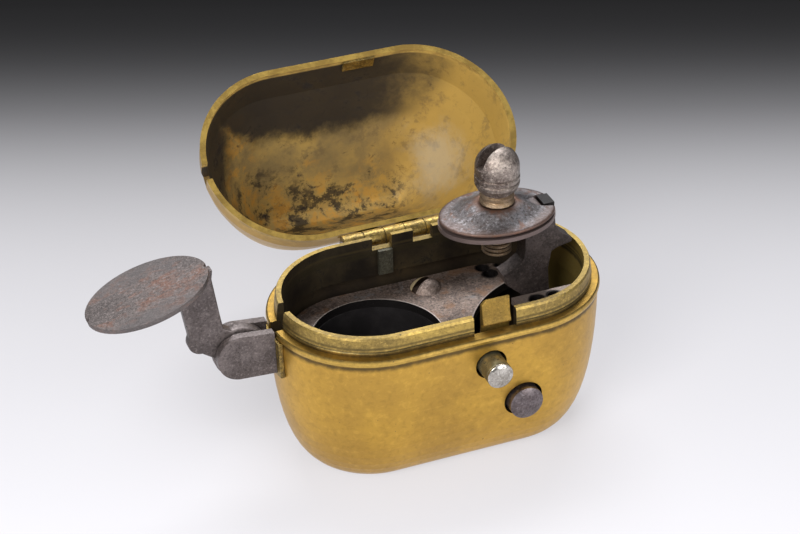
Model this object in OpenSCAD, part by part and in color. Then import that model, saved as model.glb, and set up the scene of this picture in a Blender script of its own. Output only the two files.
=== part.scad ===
// Pocket tinder box with a flintlock: a hinged brass case, a folding steel lever and a cock.
// Millimetres. Origin: centre of the flat bottom. +X towards the cock, +Y towards the hinge, +Z up.
// The lid stands open, the lever is folded out and the cock is drawn back, as the box is shown.

/* [Case] */
// Length of the case over its bead
case_l = 60; // [54:0.5:70]
// Width of the case over its bead
case_w = 35.2; // [34:0.2:40]
// Height of the body, from its flat bottom to the seam
body_h = 27.8; // [27:0.2:34]
// Thickness of the body's wall
body_wall = 1.8; // [1.4:0.1:1.9]
// Thickness of the body's floor
floor_t = 2.1; // [1.5:0.1:2.2]
// How far the body's wall draws in over its whole curve
body_draw = 8.4; // [6:0.1:9]
// Height of the bead under the seam
bead_h = 1.25; // [0.8:0.05:2]
// How far the bead stands out from the wall
bead_out = 0.35; // [0.2:0.05:0.5]

/* [Collar] */
// Height of the collar above the seam
collar_h = 3.4; // [2.6:0.1:4]
// Thickness of the collar
collar_t = 1.35; // [1:0.05:1.6]
// Gap between the collar and the closed lid
collar_gap = 0.4; // [0.35:0.05:0.6]
// How far the collar reaches down inside the body
collar_drop = 4.2; // [3:0.1:5]

/* [Lid] */
// Height of the lid, from the seam to its crown
lid_h = 31; // [31:0.5:36]
// Thickness of the lid's rim
rim_t = 1.1; // [1:0.05:1.3]
// Thickness of the lid's wall above its rim
lid_wall = 0.85; // [0.7:0.05:1]
// Radius left at the top of the crown
crown_r = 1.7; // [1.6:0.1:3]
// How much of the lid's drawing-in is left to its rounded crown
lid_draw = 4.3; // [3.6:0.1:5]
// Angle the lid stands open
lid_open = 146; // [100:1:160]

/* [Case hinge] */
// Length of the hinge
hinge_l = 19.6; // [16:0.2:22]
// Radius of the hinge barrels
barrel_r = 1.55; // [1.3:0.05:1.8]
// Radius of the hinge pin
hinge_pin_r = 0.6; // [0.4:0.05:0.8]
// Distance of the hinge axis behind the case's side
hinge_out = 1.6; // [1.6:0.05:2.2]
// Height of the hinge axis above the seam
hinge_up = 0.7; // [0.5:0.05:1]

/* [Lock plate and tinder pot] */
// Depth of the lock plate's top under the seam
plate_drop = 6.8; // [6:0.1:8]
// Thickness of the lock plate
plate_t = 1.6; // [1.2:0.1:2]
// Radius of the tinder hole
hole_r = 11.6; // [9:0.1:12]
// Distance of the tinder hole's middle from the lever's end of the case
hole_in = 19.3; // [18.6:0.1:20.4]
// Depth of the tinder pot under the plate
pot_h = 14.9; // [10:0.1:15.4]
// Wall of the tinder pot
pot_t = 0.7; // [0.5:0.05:1]
// Radius of the hollow edge that makes room for the cock
crescent_r = 20; // [18:0.5:21]

/* [Striking lever] */
// Distance of the lever's pivot from the end of the case
pivot_out = 5.7; // [5.7:0.1:8]
// Depth of the lever's pivot under the seam
pivot_drop = 3.1; // [2.8:0.1:3.6]
// Radius of the bracket's rounded end
cheek_r = 4.2; // [3.6:0.1:4.6]
// Thickness of one bracket cheek
cheek_t = 1.5; // [1:0.1:2]
// Thickness of the lever
lever_t = 2; // [1.6:0.1:2.2]
// Radius of the lever's hub
hub_r = 4.9; // [4.3:0.1:5]
// Width of the lever's arm
arm_w = 6; // [5:0.1:6.4]
// Half the length of the striking pad
pad_a = 10.85; // [9:0.05:11.5]
// Half the width of the striking pad
pad_b = 8.2; // [7:0.1:9.2]
// Thickness of the striking pad
pad_t = 0.9; // [0.8:0.1:1.6]
// Slope of the pad when the lever is folded out
pad_tilt = 15; // [15:1:15]

/* [Cock] */
// Distance of the cock's axle from its end of the case
axle_in = 11; // [10.8:0.1:11.4]
// Height of the cock's axle above the bottom
axle_z = 8.5; // [8.2:0.1:9]
// Thickness of the cock
cock_t = 5; // [4:0.1:5.4]
// Thickness of the cock's neck, flush with the front of its hub
neck_t = 3.2; // [2.8:0.1:3.8]
// Half the length of the jaws
jaw_a = 10.6; // [9:0.1:11]
// Half the width of the jaws
jaw_b = 7.75; // [6:0.05:8.5]
// Distance of the jaw screw ahead of the axle
screw_ahead = 7.2; // [6.9:0.1:7.4]
// Height of the lower jaw's face above the seam
jaw_up = 12.2; // [12:0.1:12.6]
// Thickness of the lower jaw
jaw_t = 0.8; // [0.8:0.1:1.6]
// Gap between the screwed-down jaws
jaw_gap = 0.4; // [0.3:0.05:0.6]
// Radius of the jaw screw's thread
thread_r = 2.6; // [2.2:0.05:2.8]
// Pitch of the thread
pitch = 0.8; // [0.7:0.05:1]
// Radius of the jaw screw's ball
ball_r = 3.9; // [3.4:0.05:4]

/* [Latch and trigger] */
// Distance of the latch from the middle of the case
latch_x = 5.3; // [4.8:0.1:5.8]
// Width of the latch's tab
tab_w = 5.2; // [4:0.1:5.6]
// Radius of the latch button
latch_r = 2.35; // [2:0.05:2.6]
// Depth of the latch button under the seam
latch_drop = 5.8; // [5.4:0.1:6.4]
// Radius of the trigger button
trigger_r = 3.05; // [2.6:0.05:3.2]
// Gap round each button
button_gap = 0.5; // [0.3:0.05:0.6]

/* [Hidden] */
$fn = 64;

// Clearances: fixed pieces that touch, a shaft in its bore, and moving pieces side by side
touch = 0.02;
running = 0.05;
side_gap = 0.25;
seat_gap = 0.3;
lid_seat = 0.12;

// Where the lock and the tinder hole sit along the case
axle_x = case_l / 2 - axle_in;
screw_x = axle_x - screw_ahead;
hole_x = case_l / 2 - hole_in;

// Case: a plan with straight sides and round ends, which draws in towards the bottom and the crown
end_r = case_w / 2;
end_x = case_l / 2 - end_r;
seam_z = body_h;
collar_top = seam_z + collar_h;
curve_d = body_h + 0.6;
curve_n = 2.4;
lid_n = 1.7;
rings = 14;

// How far the body's wall has drawn in, at a depth d under the seam
function body_in(d) = body_draw * (1 - pow(1 - pow(d / curve_d, curve_n), 1 / curve_n));
// How far the lid's wall has drawn in, at a height h above the seam of a dome of height top: upright
// round the collar, then a slope, then the crown
lean = 0.06;
lid_side = end_r - crown_r - lean * lid_h - lid_draw;
hollow_h = lid_h - lid_wall;
function ease_in(q) = let(t = max(0, q - 0.08)) t * t / (t + 0.13);
function lid_in(h, top) = lean * h + lid_side * ease_in(h / top) / ease_in(1)
  + lid_draw * (1 - pow(1 - pow(h / top, lid_n), 1 / lid_n));
// Even steps that crowd towards the far end of a curve
function eased(i) = sin(90 * i / rings);
// The same, on the straight runs between those steps, for what lies against the lid's outside
function lid_wall_in(h) = lookup(h, [for (i = [0:rings]) [eased(i) * lid_h, lid_in(eased(i) * lid_h, lid_h)]]);

// Half profiles, from the axis outwards, as radius and height
function body_profile(out, low) = concat([[0, low]],
  [for (i = [rings:-1:0]) [end_r - out - body_in(eased(i) * (body_h - low)), seam_z - eased(i) * (body_h - low)]],
  [[0, seam_z]]);
function lid_profile() = concat([[0, seam_z]],
  [for (i = [0:rings]) [end_r - lid_in(eased(i) * lid_h, lid_h), seam_z + eased(i) * lid_h]],
  [[0, seam_z + lid_h]]);
// The lid's inside: a thicker rim, then the thinner wall up to the crown
function hollow_points() = concat([[end_r - rim_t, seam_z], [end_r - rim_t, seam_z + 0.9]],
  [for (i = [2:rings]) [end_r - lid_wall - lid_in(eased(i) * hollow_h, hollow_h), seam_z + eased(i) * hollow_h]]);
function hollow_profile() = concat([[0, seam_z]], hollow_points(), [[0, seam_z + hollow_h]]);

// A half profile carried round the case's plan: two half turns and a straight run
module round_case(profile) {
  for (s = [-1, 1])
    translate([s * end_x, 0, 0])
      rotate([0, 0, -90 * s])
        rotate_extrude(angle = 180)
          polygon(profile);
  rotate([90, 0, 90])
    translate([0, 0, -end_x])
      linear_extrude(2 * end_x)
        for (m = [0, 1])
          mirror([m, 0])
            polygon(profile);
}

// The case's plan as a flat outline, drawn in by inset
module plan(inset) {
  for (s = [-1, 1])
    translate([s * end_x, 0])
      circle(r = end_r - inset);
  square([2 * end_x, 2 * (end_r - inset)], center = true);
}

// An outline in the X-Z plane with the thickness t along Y, from y0 towards the hinge
module side_plate(y0, t) {
  translate([0, y0 + t, 0])
    rotate([90, 0, 0])
      linear_extrude(t)
        children();
}

// A cylinder along Y from y0 to y1
module y_rod(x, z, r, y0, y1) {
  translate([x, y1, z])
    rotate([90, 0, 0])
      cylinder(r = r, h = y1 - y0);
}

function oval(a, b, n = 56) = [for (i = [0:n - 1]) [a * cos(360 * i / n), b * sin(360 * i / n)]];

// Lever slot through the left end
slot_w = lever_t + 1;
slot_z = seam_z - pivot_drop - 0.4;
pivot_x = -case_l / 2 - pivot_out;
pivot_z = seam_z - pivot_drop;

// Hinge
hinge_y = end_r + hinge_out;
hinge_z = seam_z + hinge_up;
knuckle_gap = 0.15;
knuckle_l = hinge_l / 5 - knuckle_gap;
function knuckle_x(i) = -hinge_l / 2 + i * hinge_l / 5 + knuckle_gap / 2;
swing_r = barrel_r + 0.3;
hinge_zone = hinge_l / 2 + 0.3;
leaf_h = 4.4;
leaf_t = 0.9;

// Latch
latch_z = seam_z - latch_drop;
button_x = latch_x - 1.9;
cut_x0 = latch_x - tab_w / 2 - 2;
cut_x1 = latch_x + tab_w / 2 + 0.6;
collar_in = end_r - rim_t - collar_gap - collar_t;
leaf_y = -(collar_in - side_gap);
tab_top = collar_top + 2;
latch_leaf_t = 0.8;
latch_travel = 1.5;

// Trigger
trigger_x = latch_x + 4.5;
trigger_z = axle_z + 4.2;
trigger_travel = 1.5;
wall_y = -(end_r - bead_out);

// Lock plate
plate_top = seam_z - plate_drop;
plate_low = plate_top - plate_t;
plate_edge = rim_t + collar_gap + collar_t - 0.1 + body_in(plate_drop + plate_t);
crescent = [axle_x + 4.9, -end_r + 5.9];
cock_slot = [axle_x - 10.4, neck_t - cock_t / 2 + 0.5];
pot_r = hole_r + 0.5;
plate_screw_at = [pot_r + 1.5 - hole_x, end_r - 6.5];
small_holes = [[-4.3, 4.4, 1.1], [-3.7, 6.7, 1.2], [-1.1, 4.6, 0.6]];
screw_shank_r = 1.1;
pillar_r = 2.2;

// Cock
jaw_z = seam_z + jaw_up;
top_low = jaw_z + jaw_gap;
top_rim = 1;
dome_h = 1.5;
top_high = top_low + top_rim + dome_h;
shoulder_z = top_high + 0.1;
ball_z = shoulder_z + 6.9;
thread_low = jaw_z - 7;
cock_hub_r = 5;
axle_r = 1.5;
frame_t = 1.3;
frame_y = cock_t / 2 + side_gap + 0.45;
tumbler_y = frame_y + frame_t + side_gap;
tumbler_t = 2.2;

// Case body: the deep brass shell with its slot and its two button holes
module case_body() {
  color("goldenrod")
  difference() {
    round_case(body_profile(bead_out, 0));
    translate([0, 0, touch])
      round_case(concat(body_profile(bead_out + body_wall, floor_t)));
    translate([-case_l / 2 - 1, -slot_w / 2, slot_z])
      cube([4 + body_wall, slot_w, body_h]);
    y_rod(button_x, latch_z, latch_r + button_gap, -end_r - 1, wall_y + body_wall + 1);
    y_rod(trigger_x, trigger_z, trigger_r + button_gap, -end_r - 1, wall_y + body_wall + 2);
  }
}

// Bead: the half-round moulding under the seam, left out behind the hinge and at the slot
module seam_bead() {
  low = seam_z - bead_h;
  r_in = end_r - bead_out + touch;
  color("gold")
  difference() {
    round_case([[0, low], [r_in, low], [end_r - 0.1, low + 0.15], [end_r, low + bead_h / 2],
      [end_r - 0.1, seam_z - 0.15], [r_in, seam_z], [0, seam_z]]);
    translate([0, 0, -1])
      round_case([[0, low], [r_in, low], [r_in, seam_z + 2], [0, seam_z + 2]]);
    translate([-hinge_zone, end_r - 3, low - 1])
      cube([2 * hinge_zone, 6, bead_h + 2]);
    translate([-case_l / 2 - 1, -slot_w / 2, low - 1])
      cube([6, slot_w, bead_h + 2]);
  }
}

// Collar: the inner rim that the lid closes over
module rim_collar() {
  outer = end_r - rim_t - collar_gap;
  inner = outer - collar_t;
  buried = end_r - bead_out - body_wall - body_in(collar_drop) - touch;
  color("darkgoldenrod")
  difference() {
    round_case([[0, seam_z - collar_drop], [buried, seam_z - collar_drop], [buried, seam_z + touch],
      [outer, seam_z + touch], [outer, seam_z + 0.6], [outer - 0.2, seam_z + 0.8],
      [outer, seam_z + 1], [outer - 0.25, collar_top - 0.4], [outer - 0.45, collar_top], [0, collar_top]]);
    translate([0, 0, -1])
      round_case([[0, seam_z - collar_drop - 1], [inner, seam_z - collar_drop - 1],
        [inner, collar_top + 3], [0, collar_top + 3]]);
    translate([-case_l / 2 - 1, -slot_w / 2, slot_z])
      cube([8, slot_w, body_h]);
    translate([cut_x0, -end_r - 1, seam_z + touch])
      cube([cut_x1 - cut_x0, 6, collar_h + 1]);
    translate([cut_x0, -end_r - 1, seam_z - collar_drop - 1])
      cube([cut_x1 - cut_x0, 1 + end_r - inner + side_gap, collar_drop + 2]);
    for (i = [1, 3])
      translate([knuckle_x(i), inner - 1, seam_z + 1])
        cube([knuckle_l, 6, collar_h]);
  }
}

// One hinge barrel with its bore
module barrel(i, bore) {
  difference() {
    translate([knuckle_x(i), hinge_y, hinge_z])
      rotate([0, 90, 0])
        cylinder(r = barrel_r, h = knuckle_l);
    translate([knuckle_x(i) - 1, hinge_y, hinge_z])
      rotate([0, 90, 0])
        cylinder(r = bore, h = knuckle_l + 2);
  }
}

// Hinge knuckles of the body, each on a leaf soldered to the wall
module body_knuckles() {
  back = end_r - bead_out + touch;
  color("darkgoldenrod")
  for (i = [0, 2, 4]) {
    difference() {
      translate([knuckle_x(i), back, seam_z - leaf_h])
        cube([knuckle_l, leaf_t + 0.5, leaf_h - seat_gap]);
      translate([knuckle_x(i) - 1, hinge_y, hinge_z])
        rotate([0, 90, 0])
          cylinder(r = barrel_r - 0.2, h = knuckle_l + 2);
    }
    barrel(i, hinge_pin_r + running);
  }
}

module hinge_pin() {
  color("dimgray")
  translate([-hinge_l / 2 - 0.3, hinge_y, hinge_z])
    rotate([0, 90, 0])
      cylinder(r = hinge_pin_r, h = hinge_l + 0.6);
}

// Everything on the lid is drawn closed and then turned back about the hinge
module opened() {
  translate([0, hinge_y, hinge_z])
    rotate([-lid_open, 0, 0])
      translate([0, -hinge_y, -hinge_z])
        children();
}

// Lid: the domed brass shell, notched at the left for the folded lever
module lid_shell() {
  color("goldenrod")
  opened()
  difference() {
    round_case(lid_profile());
    translate([0, 0, -touch])
      round_case(hollow_profile());
    translate([-case_l / 2 - 1, -slot_w / 2, seam_z - 1])
      cube([8, slot_w, 6.2]);
    translate([-case_l, -case_w, seam_z - 1])
      cube([2 * case_l, 2 * case_w, 1 + lid_seat]);
    translate([-hinge_zone, hinge_y, hinge_z])
      rotate([0, 90, 0])
        cylinder(r = swing_r, h = 2 * hinge_zone);
  }
}

// Hinge knuckles of the lid, each on a leaf that lies against the sloping wall
module lid_knuckles() {
  up = 5;
  bend = eased(1) * lid_h;
  function wall(h) = end_r - lid_wall_in(h) + touch;
  color("goldenrod")
  opened()
  for (i = [1, 3]) {
    difference() {
      translate([knuckle_x(i), 0, 0])
        rotate([90, 0, 90])
          linear_extrude(knuckle_l)
            polygon([[hinge_y + 0.6, hinge_z + 1], [wall(up) + leaf_t, seam_z + up], [wall(up), seam_z + up],
              [wall(bend), seam_z + bend], [wall(2.5), seam_z + 2.5], [hinge_y - 1.2, hinge_z + 0.8]]);
      translate([knuckle_x(i) - 1, hinge_y, hinge_z])
        rotate([0, 90, 0])
          cylinder(r = hinge_pin_r + running, h = knuckle_l + 2);
    }
    barrel(i, hinge_pin_r + running);
  }
}

// Catch: the small plate inside the lid's front rim, which the latch's lip goes under
module lid_catch() {
  function inner(h, t) = -(lookup(h, [for (p = hollow_points()) [p[1] - seam_z, p[0]]]) - t);
  color("darkgoldenrod")
  opened()
  translate([latch_x - 3.3, 0, seam_z])
    rotate([90, 0, 90])
      linear_extrude(6.1)
        polygon([[inner(0.3, touch), 0.3], [inner(0.3, 0.45), 0.3], [inner(2.6, 0.45), 2.6],
          [inner(2.6, touch), 2.6]]);
}

// Lid stay: the short leaf on the collar's inside, under the second knuckle
module lid_spring() {
  t = 0.7;
  color("slategray")
  translate([knuckle_x(1) + 1, collar_in - touch - t, seam_z - 4])
    cube([knuckle_l - 1.1, t, 4.9]);
}

// Lock plate: the steel deck with the tinder hole and the hollow edge round the cock
module lock_plate() {
  color("#5b5048")
  translate([0, 0, plate_low])
    difference() {
      linear_extrude(plate_t)
        difference() {
          plan(plate_edge);
          translate([-hole_x, 0])
            circle(r = hole_r);
          translate(crescent)
            circle(r = crescent_r);
          translate([cock_slot[0], -cock_t / 2 - 0.6])
            square([axle_x - cock_slot[0], cock_slot[1] + cock_t / 2 + 0.6]);
          translate([cut_x0, -end_r])
            square([cut_x1 - cut_x0 + 4, end_r + leaf_y + latch_leaf_t + latch_travel + 0.6]);
        }
      for (h = small_holes)
        translate([axle_x + h[0], end_r - h[1], -1])
          cylinder(r = h[2], h = plate_t + 2);
      translate([plate_screw_at[0], plate_screw_at[1], -1])
        cylinder(r = screw_shank_r + running, h = plate_t + 2);
    }
}

// Plate screw with its domed, slotted head
module plate_screw() {
  head_r = 2.8;
  head_h = 1.7;
  dome_r = (head_r * head_r + head_h * head_h) / (2 * head_h);
  color("#8a8078")
  translate([plate_screw_at[0], plate_screw_at[1], plate_top + touch])
    difference() {
      union() {
        intersection() {
          translate([0, 0, head_h - dome_r])
            sphere(r = dome_r);
          cylinder(r = head_r, h = head_h + 1);
        }
        translate([0, 0, -plate_t - 6])
          cylinder(r = screw_shank_r, h = plate_t + 6.2);
      }
      rotate([0, 0, 25])
        translate([-4, -0.1, head_h - 1.2])
          cube([8, 1.2, 2]);
    }
}

// Pillar: the post that carries the plate and takes its screw
module plate_pillar() {
  color("darkgoldenrod")
  difference() {
    intersection() {
      translate([plate_screw_at[0], plate_screw_at[1], floor_t + touch])
        cylinder(r = pillar_r, h = plate_low - floor_t - 2 * touch);
      round_case(body_profile(bead_out + body_wall + touch, floor_t));
    }
    translate([plate_screw_at[0], plate_screw_at[1], plate_low - 7])
      cylinder(r = screw_shank_r + running, h = 8);
  }
}

// Ledges: the two brass blocks soldered to the ends that the plate lies on
module plate_ledge() {
  t = 2;
  color("darkgoldenrod")
  for (s = [-1, 1])
    intersection() {
      translate([0, 0, -touch])
        round_case(body_profile(bead_out + body_wall + touch, floor_t));
      translate([s < 0 ? -case_l / 2 : axle_x + 1, s < 0 ? -4 : end_r - 8.6, plate_low - t - touch])
        cube([s < 0 ? hole_in - pot_r - 1.7 : 6, s < 0 ? 8 : 6, t]);
    }
}

// Tinder pot: the round steel cup under the hole
module tinder_pot() {
  color("#3a3330")
  translate([-hole_x, 0, plate_low - pot_h])
    difference() {
      cylinder(r = pot_r, h = pot_h - touch);
      translate([0, 0, pot_t])
        cylinder(r = pot_r - pot_t, h = pot_h);
    }
}

// Front deck: the small steel shelf in front of the cock, with its two holes
module front_deck() {
  z = plate_top + 2.6;
  color("#5b5048")
  translate([0, 0, z])
    difference() {
      linear_extrude(1.2)
        intersection() {
          plan(rim_t + collar_gap + collar_t + touch);
          translate([trigger_x + 3.4, -end_r])
            square([case_l / 2, end_r - cock_t / 2 - 0.9]);
        }
      for (x = [-1.8, 1.6])
        translate([axle_x + x, deck_hole_y, -1])
          cylinder(r = 1.3, h = 4);
    }
}

deck_hole_y = -cock_t / 2 - 3.1;

// Rivets of the front deck
module deck_rivets() {
  z = plate_top + 3.8 + touch;
  color("#8a8078")
  for (p = [[-3.8, -1.4], [4, -0.9]])
    translate([axle_x + p[0], deck_hole_y + p[1], z])
      intersection() {
        translate([0, 0, -0.9])
          sphere(r = 1.5);
        cylinder(r = 1.2, h = 2);
      }
}

// Flange: the brass strip round the left end that carries the bracket
module bracket_flange() {
  t = 0.8;
  color("darkgoldenrod")
  difference() {
    intersection() {
      round_case(body_profile(bead_out - t, 0.01));
      translate([-case_l / 2 - 2, -3.8, pivot_z - 5.2])
        cube([6, 7.6, seam_z - bead_h - touch - pivot_z + 5.2]);
    }
    round_case(body_profile(bead_out - touch, 0));
    translate([-case_l / 2 - 2, -slot_w / 2, slot_z])
      cube([6, slot_w, 12]);
  }
}

// One bracket cheek: a round end on a straight root that meets the flange
module cheek(y0) {
  end = [pivot_x - 0.6, pivot_z + 0.1];
  wall_x = -case_l / 2 - seat_gap;
  color("#6a6462")
  difference() {
    side_plate(y0, cheek_t) {
      difference() {
        union() {
          translate(end)
            circle(r = cheek_r);
          polygon([end - [0, cheek_r], [-end_x - 12, end[1] - cheek_r - 0.7],
            [-end_x - 12, seam_z - bead_h - 0.1], [wall_x, seam_z - bead_h - 0.1],
            [wall_x, seam_z + 0.6], end + [0, cheek_r]]);
        }
        translate([pivot_x, pivot_z])
          circle(r = lever_pin_r + touch);
      }
    }
    round_case(body_profile(bead_out - 0.8 - touch, 0));
    translate([-case_l / 2 - touch, -10, seam_z - bead_h - touch])
      cube([20, 20, 10]);
  }
}

lever_pin_r = 1.2;
cheek_y = lever_t / 2 + side_gap;

module front_cheek() {
  cheek(-cheek_y - cheek_t);
}

module rear_cheek() {
  cheek(cheek_y);
}

module lever_pin() {
  color("#8a8078")
  y_rod(pivot_x, pivot_z, lever_pin_r, -cheek_y - cheek_t, cheek_y + cheek_t);
}

// Striking pad: centre and length direction, from the pivot
pad_at = [pivot_x - 15.4, pivot_z + 15.5];
module pad_frame() {
  translate([pad_at[0], 0, pad_at[1]])
    rotate([0, -pad_tilt, 0])
      children();
}

// Lever: a hub between the cheeks and an arm that rises to the pad
module striking_lever() {
  root = [pivot_x, pivot_z];
  color("#5d5552")
  difference() {
    union() {
      y_rod(pivot_x, pivot_z, hub_r, -lever_t / 2, lever_t / 2);
      y_rod(pivot_x - 0.9 - arm_w, pivot_z + 3.8, 2.3, -lever_t / 2, lever_t / 2);
      side_plate(-lever_t / 2, lever_t)
        polygon([for (p = [[-2, -2], [-6.9, 1.5], [-2.9 - arm_w + 0.1, 4.3], [-3.9 - arm_w, 11],
          [-4.8 - arm_w, 18.6], [-3.9, 19.6], [-4.4, 15.7], [-3.4, 8.6], [-2.9, 5.6], [-1.2, 4.6]])
          root + p]);
    }
    y_rod(pivot_x, pivot_z, lever_pin_r + running, -5, 5);
    pad_frame()
      translate([-20, -10, -pad_t - touch])
        cube([40, 20, 10]);
  }
}

// Pad: the oval steel plate that the flint strikes, nicked at both ends
module striking_pad() {
  color("#7a5a4e")
  pad_frame()
    translate([0, 0, -pad_t])
      linear_extrude(pad_t)
        difference() {
          polygon(oval(pad_a, pad_b));
          for (s = [-1, 1])
            translate([s * pad_a, 0])
              circle(r = 0.5);
        }
}

// Frame: the two upright cheeks that carry the cock's axle, on one foot
module lock_frame() {
  foot = floor_t + 2 * touch;
  color("#5b5048")
  difference() {
    union() {
      translate([axle_x - 3.5, -frame_y - frame_t, foot])
        cube([6.6, 2 * (frame_y + frame_t), 1.1]);
      for (y = [-frame_y - frame_t, frame_y])
        side_plate(y, frame_t) {
          translate([axle_x, axle_z])
            circle(r = 3);
          polygon([[axle_x - 3, axle_z], [axle_x - 3.5, foot], [axle_x + 3.1, foot], [axle_x + 3, axle_z]]);
        }
    }
    y_rod(axle_x, axle_z, axle_r + running, -10, 10);
  }
}

module cock_axle() {
  color("#8a8078")
  y_rod(axle_x, axle_z, axle_r, -frame_y - frame_t - 0.4, tumbler_y + tumbler_t);
}

// Cock: hub, crooked neck with its thumb spur, and the lower jaw with its guide for the upper one
module cock() {
  spur = [axle_x + 6.2, seam_z + 5.8];
  color("#3e3836")
  difference() {
    union() {
      side_plate(-cock_t / 2, cock_t)
        translate([axle_x, axle_z])
          circle(r = cock_hub_r);
      side_plate(-cock_t / 2, neck_t)
        polygon(concat([[axle_x - 4.6, axle_z + 2]],
          [for (p = [[-2.2, -5.8], [-2.4, -4.2], [-4.8, -2.2], [-6.4, -0.7], [-6.9, 1.2], [-5, 2.1],
            [-3.2, 3.4], [-2.8, 5.2]]) [axle_x + p[0], seam_z + p[1]]],
          [[axle_x - 2.8, jaw_z - jaw_t + 0.3], [axle_x + 2.7, jaw_z - jaw_t + 0.3],
            [axle_x + 2.9, seam_z + 9.2], [axle_x + 3.6, seam_z + 8], spur, spur + [-0.2, -0.5]],
          [for (p = [[3.4, 4.8], [2.2, 4.2], [1.6, 0.9], [1.9, -3.8]]) [axle_x + p[0], seam_z + p[1]]],
          [[axle_x + 4.4, axle_z + 2.4]]));
      translate([screw_x, 0, jaw_z - jaw_t])
        linear_extrude(jaw_t)
          polygon(oval(jaw_a, jaw_b));
      translate([screw_x + jaw_a - 2.4, -1.6, jaw_z - 0.1])
        cube([2, 3.2, jaw_gap + top_rim + 0.05]);
    }
    translate([screw_x, 0, jaw_z - jaw_t - 4])
      cylinder(r = thread_r + running, h = 8);
    y_rod(axle_x, axle_z, axle_r + touch, -10, 10);
    y_rod(axle_x + 0.5, axle_z + 4, 0.8, -cock_t / 2 - 1, -cock_t / 2 + 0.8);
  }
}

// Tumbler: the inner arm on the axle that the mainspring bears on
module tumbler() {
  color("#5b5048")
  side_plate(tumbler_y, tumbler_t)
    difference() {
      union() {
        translate([axle_x, axle_z])
          circle(r = 3.2);
        polygon([[axle_x - 1, axle_z + 3], [axle_x - 7.4, axle_z + 3.6], [axle_x - 7.8, axle_z + 2.4],
          [axle_x - 2.4, axle_z - 2]]);
      }
      translate([axle_x, axle_z])
        circle(r = axle_r + touch);
    }
}

// Mainspring: a flat spring bent back on itself under the plate, down to the tumbler's toe
module mainspring() {
  t = 0.8;
  bend = 1.6;
  far = [axle_x - 5.6, plate_low - touch - bend];
  leaf_x = max(pot_r - hole_x + 0.6, far[0] - 10);
  color("#44484f")
  side_plate(tumbler_y, tumbler_t) {
    difference() {
      translate(far)
        circle(r = bend);
      translate(far)
        circle(r = bend - t);
      translate(far - [6, 6])
        square([6, 12]);
    }
    translate([leaf_x, far[1] + bend - t])
      square([far[0] + touch - leaf_x, t]);
    polygon([far + [0.02, -bend], far + [0.02, -bend + t], [axle_x - 8.6, axle_z + 4.9],
      [axle_x - 7.4, axle_z + 3.6 + seat_gap], [axle_x - 6.8, axle_z + 3.6 + seat_gap]]);
  }
}

// Upper jaw: a thin oval plate, domed up to the screw
module top_jaw() {
  dome_r = 6.6;
  color("#77787c")
  difference() {
    union() {
      translate([screw_x, 0, top_low])
        linear_extrude(top_rim)
          polygon(oval(jaw_a, jaw_b));
      translate([screw_x, 0, top_low + top_rim - 0.5])
        cylinder(r = dome_r, h = 0.5);
      translate([screw_x, 0, top_low + top_rim])
        cylinder(r1 = dome_r, r2 = 5, h = dome_h / 3);
      translate([screw_x, 0, top_low + top_rim + dome_h / 3])
        cylinder(r1 = 5, r2 = thread_r + 0.4, h = dome_h * 2 / 3);
    }
    translate([screw_x, 0, top_low - 1])
      cylinder(r = thread_r + running + 0.02, h = 8);
    translate([screw_x + jaw_a - 2.4 - side_gap, -1.6 - side_gap, top_low - 1])
      cube([5, 3.2 + 2 * side_gap, 4]);
  }
}

// Jaw screw: threaded shank, turned neck and a slotted ball
module jaw_screw() {
  groove = 0.35;
  turns = floor((shoulder_z - 3 - thread_low) / pitch);
  color("#9a8f86")
  translate([screw_x, 0, 0])
    difference() {
      union() {
        rotate_extrude()
          polygon(concat([[0, thread_low], [thread_r - groove, thread_low]],
            [for (i = [0:turns - 1], p = [[0, 0.1], [groove, 0.4], [groove, 0.6], [0, 0.9]])
              [thread_r - groove + p[0], thread_low + (i + p[1]) * pitch]],
            [[thread_r - groove, shoulder_z], [0, shoulder_z]]));
        translate([0, 0, shoulder_z])
          rotate_extrude()
            polygon([[0, -0.5], [2, -0.5], [2, 0], [2.9, 0], [3.1, 0.3], [2.9, 0.8], [2.7, 1], [3, 1.3], [3, 1.7], [2.6, 2],
              [2.6, 2.4], [3.5, 2.9], [ball_r, 3.7], [ball_r + 0.05, 4.2], [ball_r - 0.2, 4.4],
              [ball_r + 0.05, 4.7], [ball_r + 0.05, 5.3], [ball_r - 0.2, 5.5], [ball_r, 5.8],
              [ball_r, 6.7], [ball_r - 0.15, 7.3], [0, 7.3]]);
        translate([0, 0, ball_z])
          sphere(r = ball_r);
      }
      rotate([0, 0, 17])
        translate([-6, -0.7, ball_z + 0.4])
          cube([12, 2, 6]);
    }
}

// Latch leaf: the springy brass strip behind the front wall, with the bent tab at its top
module latch_leaf() {
  x0 = latch_x - tab_w / 2;
  low = trigger_z + trigger_r + 0.8 + seat_gap;
  color("gold")
  difference() {
    union() {
      translate([x0, leaf_y, low])
        cube([tab_w, latch_leaf_t, seam_z + 3 - low]);
      translate([x0, 0, 0])
        rotate([90, 0, 90])
          linear_extrude(tab_w)
            polygon([[leaf_y + latch_leaf_t, seam_z + 0.8], [leaf_y + latch_leaf_t, tab_top - 0.3],
              [leaf_y + 0.5, tab_top], [leaf_y + 0.1, tab_top], [leaf_y - 0.4, tab_top - 3],
              [leaf_y - 0.85, tab_top - 4.2], [leaf_y - 0.85, seam_z + 0.8]]);
    }
    translate([x0, leaf_y - 3, tab_top - 0.9])
      rotate([0, -45, 0])
        translate([-3, 0, 0])
          cube([6, 8, 3]);
  }
}

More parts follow.
